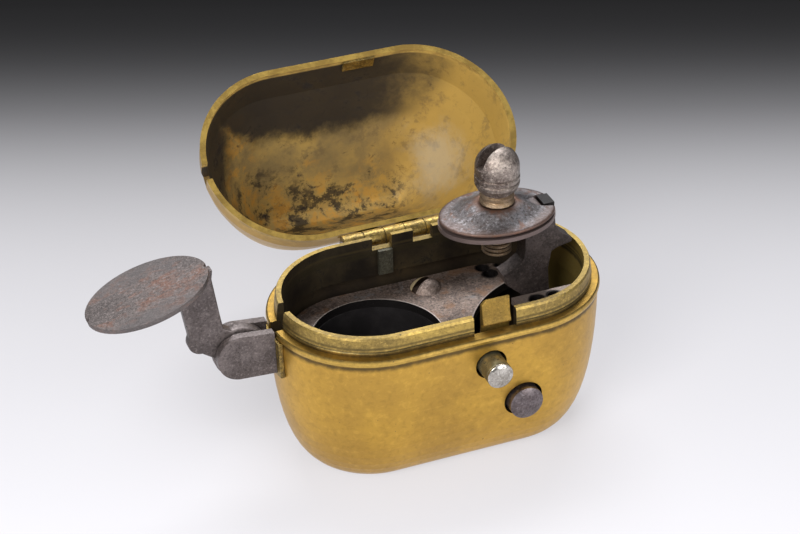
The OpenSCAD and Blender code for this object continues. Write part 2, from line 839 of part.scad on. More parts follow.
// Latch button: a short rod with a rounded, planished face, riveted to the leaf
module latch_button() {
  face = wall_y - 3.9;
  color("silver")
  difference() {
    y_rod(button_x, latch_z, latch_r, face, leaf_y - touch);
    translate([button_x, face, latch_z])
      rotate([90, 0, 0])
        rotate_extrude()
          polygon([[latch_r - 0.5, 0.1], [latch_r + 1, 0.1], [latch_r + 1, -0.6], [latch_r, -0.6]]);
  }
}

// Trigger button: a domed steel button with a shoulder behind the wall and a stem to the sear
module trigger_button() {
  face = wall_y - 1.4;
  dome = 7;
  inside = -(end_r - bead_out - body_wall - body_in(body_h - trigger_z));
  color("slategray")
  union() {
    intersection() {
      y_rod(trigger_x, trigger_z, trigger_r, face, inside + 1.1);
      translate([trigger_x, face + dome, trigger_z])
        sphere(r = dome);
    }
    y_rod(trigger_x, trigger_z, trigger_r, face + 2.2, inside + 1.1);
    y_rod(trigger_x, trigger_z, trigger_r + 0.8, inside + 1.05, inside + 1.9);
    y_rod(trigger_x, trigger_z, 1.2, inside + 1.8, sear_at[1] - 1.1);
  }
}

// Sear: a small rocker between the trigger's stem and the cock's side
sear_at = [trigger_x + 5.7, -8.5];
sear_t = 1.4;
module sear() {
  color("#8a8078")
  translate([sear_at[0], sear_at[1], trigger_z - sear_t / 2])
    difference() {
      union() {
        cylinder(r = 2.1, h = sear_t);
        linear_extrude(sear_t)
          polygon([[-0.4, -0.7], [-7, -0.7], [-7, 0.7], [-0.4, 1.4]]);
        linear_extrude(sear_t)
          polygon([[-1.2, 1.2], [1.6, 0.8], [4.2, 5.5], [2.8, 5.5]]);
      }
      translate([0, 0, -1])
        cylinder(r = 1 + running, h = 4);
    }
}

module sear_post() {
  color("#8a8078")
  translate([sear_at[0], sear_at[1], floor_t + 2 * touch])
    union() {
      cylinder(r = 1, h = trigger_z - floor_t + 2.2);
      cylinder(r = 1.8, h = trigger_z - sear_t / 2 - floor_t - 0.15);
    }
}

case_body();
seam_bead();
rim_collar();
body_knuckles();
hinge_pin();
lid_shell();
lid_knuckles();
lid_catch();
lid_spring();
lock_plate();
plate_screw();
plate_pillar();
plate_ledge();
tinder_pot();
front_deck();
deck_rivets();
bracket_flange();
front_cheek();
rear_cheek();
lever_pin();
striking_lever();
striking_pad();
lock_frame();
cock_axle();
cock();
tumbler();
mainspring();
top_jaw();
jaw_screw();
latch_leaf();
latch_button();
trigger_button();
sear();
sear_post();
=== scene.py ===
# %% [markdown]
# # A brass tinder box with its flintlock
#
# This lesson dresses a small flintlock tinder box: a brass case the size of a matchbox, a deep
# domed lid, a steel lock inside and a folding lever outside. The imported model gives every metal
# part its true shape and place. Here we add the camera, the softened edges, a few finer surfaces
# and, above all, the old metal: warm rubbed brass outside, stained brass inside, pitted steel.

import math

import bmesh
import bpy
import numpy as np
from mathutils import Matrix, Vector


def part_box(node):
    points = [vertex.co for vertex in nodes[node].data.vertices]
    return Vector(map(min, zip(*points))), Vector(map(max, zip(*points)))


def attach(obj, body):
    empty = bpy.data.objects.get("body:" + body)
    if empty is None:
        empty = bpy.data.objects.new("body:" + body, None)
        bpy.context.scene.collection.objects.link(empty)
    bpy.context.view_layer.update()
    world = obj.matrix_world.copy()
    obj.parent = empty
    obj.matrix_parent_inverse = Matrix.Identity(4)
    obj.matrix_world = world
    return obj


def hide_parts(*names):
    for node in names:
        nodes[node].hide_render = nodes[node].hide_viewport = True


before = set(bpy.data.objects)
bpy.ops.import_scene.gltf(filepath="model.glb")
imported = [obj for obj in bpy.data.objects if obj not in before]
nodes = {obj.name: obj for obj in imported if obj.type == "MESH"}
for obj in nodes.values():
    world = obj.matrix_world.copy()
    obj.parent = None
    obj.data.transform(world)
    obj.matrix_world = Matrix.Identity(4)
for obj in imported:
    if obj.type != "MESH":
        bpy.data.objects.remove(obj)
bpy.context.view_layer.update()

# %% [markdown]
# ## The camera
#
# The photograph was taken from a little above and to the left of the front, with a long lens that
# keeps parallel edges nearly parallel. We place the camera by its direction from a point at the
# height of the seam, then slide the frame a little with the lens shift, so the box sits in the
# picture where it does in the photograph, without turning the camera.

# %% Aim the camera
seam = Vector((0.0, 0.0, 0.0278))
azimuth = math.radians(-22.2)
elevation = math.radians(32.7)
roll = math.radians(-0.5)
distance = 0.42
right = Vector((math.cos(azimuth), math.sin(azimuth), 0.0))
back = Vector((math.sin(azimuth) * math.cos(elevation), -math.cos(azimuth) * math.cos(elevation), math.sin(elevation)))
up = back.cross(right)
side = right * math.cos(roll) + up * math.sin(roll)
top = up * math.cos(roll) - right * math.sin(roll)
turn = Matrix((side, top, back)).transposed().to_4x4()
lens = bpy.data.cameras.new("long_lens")
lens.lens = 108.7
lens.sensor_width = 36.0
lens.clip_end = 20.0
lens.shift_x = -0.0427
lens.shift_y = 0.0285
camera = bpy.data.objects.new("camera", lens)
camera.matrix_world = Matrix.Translation(seam + back * distance) @ turn
bpy.context.scene.collection.objects.link(camera)
bpy.context.scene.camera = camera
print("camera stands at", [round(v, 4) for v in camera.location])

# %% [markdown]
# ## Edges that catch the light
#
# No real metal edge is perfectly sharp. Filing, polishing and two hundred years of pockets leave
# a tiny round on every corner, and that round is what draws the thin bright line along it. The
# model's own parts keep their sharp edges, so each one that needs the line is copied, its loose
# triangles are merged, and a narrow bevel rounds only the corners.

# %% A helper that softens a part's corners
def softened(node, width, body, segments=2, angle=35.0):
    """A merged copy of one part with its corners rounded by width, in metres."""
    mesh = nodes[node].data.copy()
    work = bmesh.new()
    work.from_mesh(mesh)
    bmesh.ops.remove_doubles(work, verts=work.verts, dist=2e-6)
    bmesh.ops.dissolve_limit(work, angle_limit=math.radians(0.5), verts=work.verts, edges=work.edges)
    work.to_mesh(mesh)
    work.free()
    mesh.name = "soft_" + node
    mesh.polygons.foreach_set("use_smooth", np.ones(len(mesh.polygons), dtype=bool))
    piece = bpy.data.objects.new("soft_" + node, mesh)
    bpy.context.scene.collection.objects.link(piece)
    bevel = piece.modifiers.new("rounded corners", "BEVEL")
    bevel.width = width
    bevel.segments = segments
    bevel.limit_method = "ANGLE"
    bevel.angle_limit = math.radians(angle)
    bevel.harden_normals = False
    bevel.use_clamp_overlap = True
    normals = piece.modifiers.new("flat faces stay flat", "WEIGHTED_NORMAL")
    normals.keep_sharp = True
    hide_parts(node)
    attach(piece, body)
    return piece


# %% Round the corners of the hand-filed steel and of the brass tab
soft = {}
for node, width, body in [
    ("striking_lever", 0.00028, "lever"),
    ("striking_pad", 0.00025, "lever"),
    ("front_cheek", 0.0003, "case"),
    ("rear_cheek", 0.0003, "case"),
    ("latch_leaf", 0.00016, "latch"),
    ("cock", 0.00022, "cock"),
    ("bracket_flange", 0.00012, "case"),
]:
    soft[node] = softened(node, width, body)
print("softened:", sorted(soft))

# %% [markdown]
# ## The upper jaw
#
# The upper jaw is a thin oval plate, hammered up to a low dome under the screw. A dome is easy to
# write as a surface: one parameter walks along the plate's cross-section, from the hole over the
# dome to the rim and back underneath, and the other goes round. The outline changes from a circle
# at the hole to an oval at the rim, and a slot in it leaves room for the guide of the lower jaw.

# %% A helper that turns a grid of points into a mesh
def surface(name, points, close_round=True, smooth=True):
    """points is an array (along, round, 3). Neighbours on the grid are joined by four-sided faces,
    and with close_round the last column is joined to the first."""
    along, around = points.shape[:2]
    index = np.arange(along * around).reshape(along, around)
    nxt = np.roll(index, -1, axis=1)
    a, b, c, d = index[:-1], nxt[:-1], nxt[1:], index[1:]
    if not close_round:
        a, b, c, d = a[:, :-1], b[:, :-1], c[:, :-1], d[:, :-1]
    faces = np.stack([a, b, c, d], axis=-1).reshape(-1, 4)
    mesh = bpy.data.meshes.new(name)
    mesh.vertices.add(along * around)
    mesh.vertices.foreach_set("co", points.reshape(-1).astype(np.float32))
    mesh.loops.add(faces.size)
    mesh.loops.foreach_set("vertex_index", faces.reshape(-1).astype(np.int32))
    mesh.polygons.add(len(faces))
    mesh.polygons.foreach_set("loop_start", np.arange(0, faces.size, 4, dtype=np.int32))
    mesh.update(calc_edges=True)
    mesh.validate()
    work = bmesh.new()
    work.from_mesh(mesh)
    bmesh.ops.remove_doubles(work, verts=work.verts, dist=1e-6)
    bmesh.ops.recalc_face_normals(work, faces=work.faces)
    work.to_mesh(mesh)
    work.free()
    mesh.polygons.foreach_set("use_smooth", np.full(len(mesh.polygons), smooth))
    piece = bpy.data.objects.new(name, mesh)
    bpy.context.scene.collection.objects.link(piece)
    return piece


# %% Measure the plate that the dome replaces
jaw_low, jaw_high = (np.array(corner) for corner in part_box("top_jaw"))
jaw_half = (jaw_high - jaw_low) / 2
jaw_mid = (jaw_high + jaw_low) / 2
screw_low, screw_high = (np.array(corner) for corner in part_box("jaw_screw"))
screw_axis = (screw_low + screw_high) / 2
print("upper jaw, half sizes in mm:", np.round(jaw_half * 1000, 2))

# %% Carry the domed cross-section round the oval
def domed_jaw():
    """Each point lies at share s of the way out to the oval, at the height of a cosine dome:
    height = rim + rise * (1 + cos(pi * q)) / 2, where q runs from the collar to the dome's foot."""
    turns = np.linspace(0.0, 2 * np.pi, 240, endpoint=False)
    notch = math.atan2(0.00185, 0.00795)
    turns = np.sort(np.concatenate([turns, [notch - 1e-3, notch + 1e-3, -notch - 1e-3 + 2 * np.pi, -notch + 1e-3 + 2 * np.pi]]))
    oval = 1 / np.sqrt((np.cos(turns) / jaw_half[0]) ** 2 + (np.sin(turns) / jaw_half[1]) ** 2)
    away = (turns + np.pi) % (2 * np.pi) - np.pi
    oval = np.where(np.abs(away) < notch, np.minimum(oval, 0.00795 / np.cos(away)), oval)
    hole = 0.00267
    collar = 0.0030
    thick = 0.0010
    rise = jaw_high[2] - jaw_low[2] - thick
    rows = []
    foot = jaw_low[2]

    def ring(radius, height):
        rows.append(np.stack([radius * np.cos(turns), radius * np.sin(turns), np.full(len(turns), height)], axis=-1))

    full = np.ones(len(turns))
    ring(full * hole, foot)
    ring(full * hole, jaw_high[2] - 0.00012)
    ring(full * (hole + 0.0001), jaw_high[2])
    ring(full * collar, jaw_high[2] - 0.00002)
    for q in np.linspace(0.0, 1.0, 18)[1:]:
        reach = collar + (oval * 0.86 - collar) * q
        ring(reach, foot + thick - 0.00022 + (rise + 0.0002) * (1 + math.cos(math.pi * q)) / 2 + 0.00022 * (1 - q))
    for out, down in [(0.92, 0.00024), (0.965, 0.00030), (0.99, 0.00042), (1.0, 0.00058), (1.0, 0.00078), (0.99, 0.00092), (0.97, 0.001)]:
        ring(oval * out, foot + thick - down)
    ring(full * hole, foot)
    points = np.stack(rows)
    points[:, :, 0] += screw_axis[0]
    points[:, :, 1] += screw_axis[1]
    return points


upper_jaw = surface("upper_jaw_plate", domed_jaw())
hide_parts("top_jaw")
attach(upper_jaw, "upper_jaw")
print("upper jaw has", len(upper_jaw.data.vertices), "points")

# %% [markdown]
# ## The planished face of the latch button
#
# The bright button was finished with a small hammer, so its face is a low dome broken into soft
# flats. A flat is a plane that cuts the dome a little lower. The face is a disc of points whose
# height is the lowest of the dome and a handful of tilted planes.

# %% Hammer flats into a disc
def hammered_cap(radius, crown, seed):
    """height(x, z) = the least of the dome crown * (1 - r^2) and of each flat's own plane."""
    rng = np.random.default_rng(seed)
    share = np.linspace(0.0, 1.0, 22)[:, None]
    turns = np.linspace(0.0, 2 * np.pi, 72, endpoint=False)[None, :]
    across = share * np.cos(turns)
    upright = share * np.sin(turns)
    height = crown * (1 - (share * np.ones_like(turns)) ** 2.6)
    for _ in range(13):
        spot = rng.uniform(-0.8, 0.8, 2)
        base = crown * (1 - np.hypot(*spot) ** 2.6)
        slope = -2.2 * crown * spot * np.hypot(*spot) + rng.uniform(-0.12, 0.12, 2) * crown
        plane = base - 0.05 * crown + slope[0] * (across - spot[0]) + slope[1] * (upright - spot[1])
        near = np.hypot(across - spot[0], upright - spot[1]) < 0.42
        height = np.where(near, np.minimum(height, plane), height)
    return across * radius, upright * radius, height


button_low, button_high = (np.array(corner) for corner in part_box("latch_button"))
button_mid = (button_low + button_high) / 2
button_r = (button_high[2] - button_low[2]) / 2
cap_x, cap_z, cap_h = hammered_cap(button_r - 0.00002, 0.00055, 7)
front = np.stack([button_mid[0] + cap_x, button_low[1] + 0.00012 - cap_h, button_mid[2] + cap_z], axis=-1)
rear = front[-1:].copy()
rear[:, :, 1] = button_low[1] + 0.0005
middle = np.repeat(np.array([[[button_mid[0], button_low[1] + 0.0005, button_mid[2]]]]), front.shape[1], axis=1)
button_face = surface("latch_button_face", np.concatenate([front, rear, middle]))
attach(button_face, "latch")
print("button face, radius in mm:", round(button_r * 1000, 2))

# %% [markdown]
# ## Shared finishes
#
# Old metal is never one colour. Four effects come back on nearly every part, so each is built
# once as a node group and given its own numbers in every material: tarnish that drifts between
# a bright and a dull tone with darker stains, small dark pits, fine wear with scratches for the
# bump, and a mask that tells a wall's inside from its outside.

# %% Helpers that build node groups
def group(name, inputs, outputs):
    """An empty node group with named sockets. Each input is (name, kind, starting value)."""
    tree = bpy.data.node_groups.new(name, "ShaderNodeTree")
    for label, kind, value in inputs:
        socket = tree.interface.new_socket(name=label, in_out="INPUT", socket_type="NodeSocket" + kind)
        if value is not None:
            socket.default_value = value
    for label, kind in outputs:
        tree.interface.new_socket(name=label, in_out="OUTPUT", socket_type="NodeSocket" + kind)
    return tree, tree.nodes.new("NodeGroupInput"), tree.nodes.new("NodeGroupOutput")


def node(tree, kind, values=None, **settings):
    """A new node, with plain settings by keyword and socket values by name or number."""
    made = tree.nodes.new("ShaderNode" + kind)
    for key, value in settings.items():
        setattr(made, key, value)
    for key, value in (values or {}).items():
        if hasattr(value, "is_output"):
            tree.links.new(value, made.inputs[key])
        else:
            made.inputs[key].default_value = value
    return made


def number(tree, operation, *values, clamp=False):
    """A Math node. Each value is a number or an output socket."""
    return node(tree, "Math", dict(enumerate(values)), operation=operation, use_clamp=clamp).outputs[0]


def span(tree, value, low, high, to_low=0.0, to_high=1.0):
    """Maps value from low..high to to_low..to_high, with a soft ease at both ends."""
    made = node(tree, "MapRange", {"Value": value, "From Min": low, "From Max": high, "To Min": to_low, "To Max": to_high},
                interpolation_type="SMOOTHSTEP")
    return made.outputs[0]


def blended(tree, share, first, second):
    """Two colours mixed by share."""
    made = node(tree, "Mix", data_type="RGBA")
    for socket, value in ((0, share), (6, first), (7, second)):
        if hasattr(value, "is_output"):
            tree.links.new(value, made.inputs[socket])
        else:
            made.inputs[socket].default_value = value
    return made.outputs[2]


# %% Tarnish: slow drifts of tone and darker stains
tarnish, t_in, t_out = group(
    "tarnish",
    [("Vector", "Vector", None), ("Bright", "Color", (0.6, 0.4, 0.1, 1)), ("Dull", "Color", (0.3, 0.2, 0.06, 1)),
     ("Stain", "Color", (0.05, 0.03, 0.02, 1)), ("Scale", "Float", 60.0), ("Stain Amount", "Float", 0.2), ("Seed", "Float", 0.0)],
    [("Color", "Color"), ("Stains", "Float")])
t_where = node(tarnish, "VectorMath", {0: t_in.outputs["Vector"], 1: t_in.outputs["Seed"]}, operation="ADD").outputs[0]
t_slow = node(tarnish, "TexNoise", {"Vector": t_where, "Scale": t_in.outputs["Scale"], "Detail": 7.0, "Roughness": 0.62})
t_fine = node(tarnish, "TexNoise", {"Vector": t_where, "Scale": number(tarnish, "MULTIPLY", t_in.outputs["Scale"], 4.5),
                                   "Detail": 5.0, "Roughness": 0.7, "Distortion": 0.6})
t_tone = span(tarnish, t_slow.outputs["Fac"], 0.34, 0.66)
t_color = blended(tarnish, t_tone, t_in.outputs["Dull"], t_in.outputs["Bright"])
t_edge = number(tarnish, "SUBTRACT", 0.78, number(tarnish, "MULTIPLY", t_in.outputs["Stain Amount"], 0.42))
t_mix = number(tarnish, "ADD", number(tarnish, "MULTIPLY", t_slow.outputs["Fac"], 0.45), number(tarnish, "MULTIPLY", t_fine.outputs["Fac"], 0.62))
t_stain = node(tarnish, "MapRange", {"Value": t_mix, "From Min": t_edge, "From Max": number(tarnish, "ADD", t_edge, 0.12)},
               interpolation_type="SMOOTHSTEP").outputs[0]
tarnish.links.new(blended(tarnish, t_stain, t_color, t_in.outputs["Stain"]), t_out.inputs["Color"])
tarnish.links.new(t_stain, t_out.inputs["Stains"])
print("tarnish group has", len(tarnish.nodes), "nodes")

# %% Pits: small dark dots, only in some cells of a cell pattern
pits, p_in, p_out = group(
    "pits",
    [("Vector", "Vector", None), ("Color", "Color", (0.5, 0.4, 0.1, 1)), ("Pit", "Color", (0.03, 0.02, 0.01, 1)),
     ("Scale", "Float", 500.0), ("Size", "Float", 0.25), ("Share", "Float", 0.3)],
    [("Color", "Color"), ("Mask", "Float")])
p_bend = node(pits, "TexNoise", {"Vector": p_in.outputs["Vector"], "Scale": number(pits, "MULTIPLY", p_in.outputs["Scale"], 2.6), "Detail": 3.0})
p_bend = node(pits, "VectorMath", {0: p_bend.outputs["Color"], 1: (0.5, 0.5, 0.5)}, operation="SUBTRACT").outputs[0]
p_push = number(pits, "DIVIDE", 0.55, p_in.outputs["Scale"])
p_bend = node(pits, "VectorMath", {0: p_bend, "Scale": p_push}, operation="SCALE").outputs[0]
p_where = node(pits, "VectorMath", {0: p_in.outputs["Vector"], 1: p_bend}, operation="ADD").outputs[0]
p_cells = node(pits, "TexVoronoi", {"Vector": p_where, "Scale": p_in.outputs["Scale"], "Randomness": 1.0})
p_pick = node(pits, "SeparateColor", {"Color": p_cells.outputs["Color"]})
p_here = number(pits, "LESS_THAN", p_pick.outputs[0], p_in.outputs["Share"])
p_size = number(pits, "MULTIPLY", p_in.outputs["Size"], number(pits, "ADD", p_pick.outputs[1], 0.35))
p_dot = node(pits, "MapRange", {"Value": p_cells.outputs["Distance"], "From Min": p_size, "From Max": number(pits, "MULTIPLY", p_size, 0.5)},
             interpolation_type="SMOOTHSTEP").outputs[0]
p_mask = number(pits, "MULTIPLY", p_dot, p_here, clamp=True)
pits.links.new(blended(pits, p_mask, p_in.outputs["Color"], p_in.outputs["Pit"]), p_out.inputs["Color"])
pits.links.new(p_mask, p_out.inputs["Mask"])

# %% Wear: dents, grain and fine scratches as one height, and a gloss that varies with it
wear, w_in, w_out = group(
    "wear",
    [("Vector", "Vector", None), ("Scale", "Float", 300.0), ("Dents", "Float", 0.4), ("Grain", "Float", 0.3), ("Scratches", "Float", 0.3)],
    [("Height", "Float"), ("Gloss", "Float"), ("Lines", "Float"), ("Specks", "Float")])
w_dents = node(wear, "TexNoise", {"Vector": w_in.outputs["Vector"], "Scale": w_in.outputs["Scale"], "Detail": 3.0, "Roughness": 0.5})
w_grain = node(wear, "TexNoise", {"Vector": w_in.outputs["Vector"], "Scale": number(wear, "MULTIPLY", w_in.outputs["Scale"], 9.0),
                                 "Detail": 4.0, "Roughness": 0.7})
w_fine = 0.0
for turned in ((0.5, 0.9, 0.3), (1.9, -0.4, 1.1)):
    w_lines = node(wear, "Mapping", {"Vector": w_in.outputs["Vector"], "Rotation": turned, "Scale": (0.05, 1.0, 1.0)})
    w_scratch = node(wear, "TexNoise", {"Vector": w_lines.outputs[0], "Scale": number(wear, "MULTIPLY", w_in.outputs["Scale"], 14.0),
                                       "Detail": 2.0, "Roughness": 0.6})
    w_fine = number(wear, "MAXIMUM", w_fine, span(wear, w_scratch.outputs["Fac"], 0.60, 0.74))
w_sum = number(wear, "MULTIPLY", w_dents.outputs["Fac"], w_in.outputs["Dents"])
w_sum = number(wear, "ADD", w_sum, number(wear, "MULTIPLY", w_grain.outputs["Fac"], w_in.outputs["Grain"]))
w_sum = number(wear, "SUBTRACT", w_sum, number(wear, "MULTIPLY", w_fine, w_in.outputs["Scratches"]))
wear.links.new(w_sum, w_out.inputs["Height"])
wear.links.new(number(wear, "ADD", number(wear, "MULTIPLY", w_grain.outputs["Fac"], 0.5), number(wear, "MULTIPLY", w_dents.outputs["Fac"], 0.5)),
               w_out.inputs["Gloss"])
wear.links.new(w_fine, w_out.inputs["Lines"])
w_specks = node(wear, "TexNoise", {"Vector": w_in.outputs["Vector"], "Scale": number(wear, "MULTIPLY", w_in.outputs["Scale"], 5.0),
                                  "Detail": 3.0, "Roughness": 0.65, "Distortion": 0.4})
wear.links.new(w_specks.outputs["Fac"], w_out.inputs["Specks"])

# %% Inward: 1 on faces that look towards a middle point, 0 on faces that look away from it
inward, i_in, i_out = group(
    "inward",
    [("Vector", "Vector", None), ("Normal", "Vector", None), ("Middle", "Vector", (0, 0, 0)), ("Stretch", "Vector", (1, 1, 1))],
    [("Inside", "Float")])
i_from = node(inward, "VectorMath", {0: i_in.outputs["Vector"], 1: i_in.outputs["Middle"]}, operation="SUBTRACT").outputs[0]
i_from = node(inward, "VectorMath", {0: i_from, 1: i_in.outputs["Stretch"]}, operation="MULTIPLY").outputs[0]
i_unit = node(inward, "VectorMath", {0: i_from}, operation="NORMALIZE").outputs[0]
i_dot = node(inward, "VectorMath", {0: i_unit, 1: i_in.outputs["Normal"]}, operation="DOT_PRODUCT").outputs["Value"]
inward.links.new(span(inward, i_dot, 0.12, -0.12), i_out.inputs["Inside"])
print("finish groups:", [g.name for g in bpy.data.node_groups])

# %% [markdown]
# ## Old metals
#
# One recipe serves every metal here: tarnish, then pits, then a bump and a roughness from the
# wear. What makes brass look like brass is that its reflections are coloured, so Metallic stays
# near one. The stained spots are a crust and reflect less, so they turn rough and less metallic.

# %% The recipe for an old metal
def old_metal(name, bright, dull, stain, scale=60.0, stains=0.2, pit=(0.03, 0.02, 0.01), pit_scale=700.0, pit_size=0.3,
              pit_share=0.25, rough=0.35, rough_vary=0.2, metallic=1.0, dents=0.5, grain=0.25, scratches=0.15,
              wear_scale=250.0, bump=0.35, bump_depth=0.00006, line_light=0.0, specks=0.0,
              stretch=(1, 1, 1), seed=0.0):
    """A material of tarnish + pits + wear. Returns it with the handles that later steps tune."""
    mat = bpy.data.materials.new(name)
    mat.use_nodes = True
    tree = mat.node_tree
    shader = tree.nodes["Principled BSDF"]
    where = node(tree, "TexCoord").outputs["Object"]
    color = node(tree, "Group", node_tree=tarnish)
    drawn = node(tree, "VectorMath", {0: where, 1: stretch}, operation="MULTIPLY").outputs[0]
    tree.links.new(drawn, color.inputs["Vector"])
    for label, value in (("Bright", bright), ("Dull", dull), ("Stain", stain)):
        color.inputs[label].default_value = (*value, 1)
    color.inputs["Scale"].default_value = scale
    color.inputs["Stain Amount"].default_value = stains
    color.inputs["Seed"].default_value = seed
    dots = node(tree, "Group", node_tree=pits)
    tree.links.new(where, dots.inputs["Vector"])
    tree.links.new(color.outputs["Color"], dots.inputs["Color"])
    dots.inputs["Pit"].default_value = (*pit, 1)
    dots.inputs["Scale"].default_value = pit_scale
    dots.inputs["Size"].default_value = pit_size
    dots.inputs["Share"].default_value = pit_share
    skin = node(tree, "Group", node_tree=wear)
    tree.links.new(where, skin.inputs["Vector"])
    for label, value in (("Scale", wear_scale), ("Dents", dents), ("Grain", grain), ("Scratches", scratches)):
        skin.inputs[label].default_value = value
    rubbed = blended(tree, number(tree, "MULTIPLY", skin.outputs["Lines"], line_light), dots.outputs["Color"],
                     tuple(min(1.0, 1.5 * v + 0.04) for v in bright) + (1,))
    if specks:
        pale = number(tree, "MULTIPLY", span(tree, skin.outputs["Specks"], 0.52, 0.70), specks)
        dark = number(tree, "MULTIPLY", span(tree, skin.outputs["Specks"], 0.48, 0.34), specks)
        rubbed = blended(tree, pale, rubbed, tuple(min(1.0, 1.7 * v + 0.02) for v in bright) + (1,))
        rubbed = blended(tree, dark, rubbed, (*pit, 1))
    tree.links.new(rubbed, shader.inputs["Base Color"])
    crust = number(tree, "MAXIMUM", color.outputs["Stains"], dots.outputs["Mask"])
    gloss = number(tree, "ADD", number(tree, "MULTIPLY", skin.outputs["Gloss"], rough_vary), rough - rough_vary * 0.5)
    tree.links.new(number(tree, "ADD", gloss, number(tree, "MULTIPLY", crust, 0.22), clamp=True), shader.inputs["Roughness"])
    tree.links.new(number(tree, "MULTIPLY", number(tree, "SUBTRACT", 1.0, number(tree, "MULTIPLY", crust, 0.55)), metallic), shader.inputs["Metallic"])
    height = number(tree, "SUBTRACT", skin.outputs["Height"], number(tree, "MULTIPLY", crust, 0.35))
    relief = node(tree, "Bump", {"Strength": bump, "Distance": bump_depth, "Height": height})
    tree.links.new(relief.outputs[0], shader.inputs["Normal"])
    return mat, {"tree": tree, "shader": shader, "where": where, "color": rubbed, "crust": crust}


def dress(names, mat):
    """Puts a material on CAD nodes or new pieces."""
    for name in names:
        piece = soft.get(name) or nodes.get(name) or bpy.data.objects[name]
        piece.data.materials.clear()
        piece.data.materials.append(mat)


# %% [markdown]
# ## The case: rubbed outside, sooty inside
#
# Hands have kept the outside of the case a warm amber, while the inside never sees a cloth and
# carries years of soot. Both faces belong to one shell, so one material mixes two tarnishes with
# the inward mask. Painted shade darkens the corner under the bead, and darker bands run along
# the seam.

# %% A helper that gives a metal a second, inner finish
def two_sided(mat, parts, middle, stretch, bright, dull, stain, scale, stains, rough, seed=3.0, metal=0.8):
    """Mixes a second tarnish in wherever the inward mask says that the face looks inside."""
    tree, shader, where = parts["tree"], parts["shader"], parts["where"]
    normal = node(tree, "TexCoord").outputs["Normal"]
    mask = node(tree, "Group", node_tree=inward)
    tree.links.new(where, mask.inputs["Vector"])
    tree.links.new(normal, mask.inputs["Normal"])
    mask.inputs["Middle"].default_value = middle
    mask.inputs["Stretch"].default_value = stretch
    inner = node(tree, "Group", node_tree=tarnish)
    tree.links.new(where, inner.inputs["Vector"])
    for label, value in (("Bright", bright), ("Dull", dull), ("Stain", stain)):
        inner.inputs[label].default_value = (*value, 1)
    inner.inputs["Scale"].default_value = scale
    inner.inputs["Stain Amount"].default_value = stains
    inner.inputs["Seed"].default_value = seed
    both = blended(tree, mask.outputs[0], parts["color"], inner.outputs["Color"])
    tree.links.new(both, shader.inputs["Base Color"])
    outer_rough = shader.inputs["Roughness"].links[0].from_socket
    inner_rough = number(tree, "ADD", number(tree, "MULTIPLY", inner.outputs["Stains"], 0.25), rough)
    split = node(tree, "Mix", data_type="FLOAT")
    for key, value in ((0, mask.outputs[0]), (2, outer_rough), (3, inner_rough)):
        tree.links.new(value, split.inputs[key])
    tree.links.new(split.outputs[0], shader.inputs["Roughness"])
    metal_split = node(tree, "Mix", data_type="FLOAT")
    tree.links.new(mask.outputs[0], metal_split.inputs[0])
    tree.links.new(shader.inputs["Metallic"].links[0].from_socket, metal_split.inputs[2])
    metal_split.inputs[3].default_value = metal
    tree.links.new(metal_split.outputs[0], shader.inputs["Metallic"])
    parts["color"] = both
    parts["inside"] = mask.outputs[0]
    parts["inner stains"] = inner.outputs["Stains"]
    return mat


def dark_band(parts, height, width, tone=(0.10, 0.065, 0.02), amount=0.75):
    """Darkens a band round a height in metres."""
    tree = parts["tree"]
    z = node(tree, "SeparateXYZ", {0: parts["where"]}).outputs[2]
    away = number(tree, "ABSOLUTE", number(tree, "SUBTRACT", z, height))
    rough_edge = node(tree, "TexNoise", {"Vector": parts["where"], "Scale": 900.0, "Detail": 3.0}).outputs["Fac"]
    away = number(tree, "SUBTRACT", away, number(tree, "MULTIPLY", rough_edge, width * 0.6))
    band = number(tree, "MULTIPLY", span(tree, away, width * 0.5, -width * 0.3), amount)
    parts["color"] = blended(tree, band, parts["color"], (*tone, 1))
    tree.links.new(parts["color"], parts["shader"].inputs["Base Color"])


def glow_end(parts):
    """Leaves the inner side golden at the cock's end, where the soot was rubbed away."""
    tree = parts["tree"]
    x = node(tree, "SeparateXYZ", {0: parts["where"]}).outputs[0]
    uneven = node(tree, "TexNoise", {"Vector": parts["where"], "Scale": 260.0, "Detail": 5.0, "Roughness": 0.7}).outputs["Fac"]
    clean = span(tree, number(tree, "ADD", x, number(tree, "MULTIPLY", uneven, 0.008)), 0.0255, 0.0290)
    clean = number(tree, "MULTIPLY", number(tree, "MULTIPLY", clean, parts["inside"]), 0.75)
    parts["color"] = blended(tree, clean, parts["color"], (0.36, 0.26, 0.07, 1))
    tree.links.new(parts["color"], parts["shader"].inputs["Base Color"])


# %% Brass for the case
case_brass, parts = old_metal(
    "case_brass", bright=(0.585, 0.350, 0.064), dull=(0.455, 0.270, 0.056), stain=(0.27, 0.175, 0.055), scale=60.0, stains=0.26,
    pit=(0.12, 0.07, 0.022), pit_scale=700.0, pit_size=0.085, pit_share=0.34, rough=0.38, rough_vary=0.16, metallic=0.90,
    dents=0.5, grain=0.12, scratches=0.10, wear_scale=170.0, bump=0.35, bump_depth=0.00006, line_light=0.08, specks=0.14)
two_sided(case_brass, parts, middle=(0, 0, 0.022), stretch=(0.55, 1.0, 1.0), bright=(0.060, 0.044, 0.026), dull=(0.024, 0.018, 0.014),
          stain=(0.012, 0.010, 0.009), scale=90.0, stains=0.4, rough=0.5)
glow_end(parts)
# Painted shade in the corner under the bead, then a darker band along the seam
dark_band(parts, 0.0262, 0.0012, tone=(0.05, 0.038, 0.022), amount=0.85)
dark_band(parts, 0.0281, 0.0008, tone=(0.10, 0.075, 0.028), amount=0.8)
dress(["case_body"], case_brass)

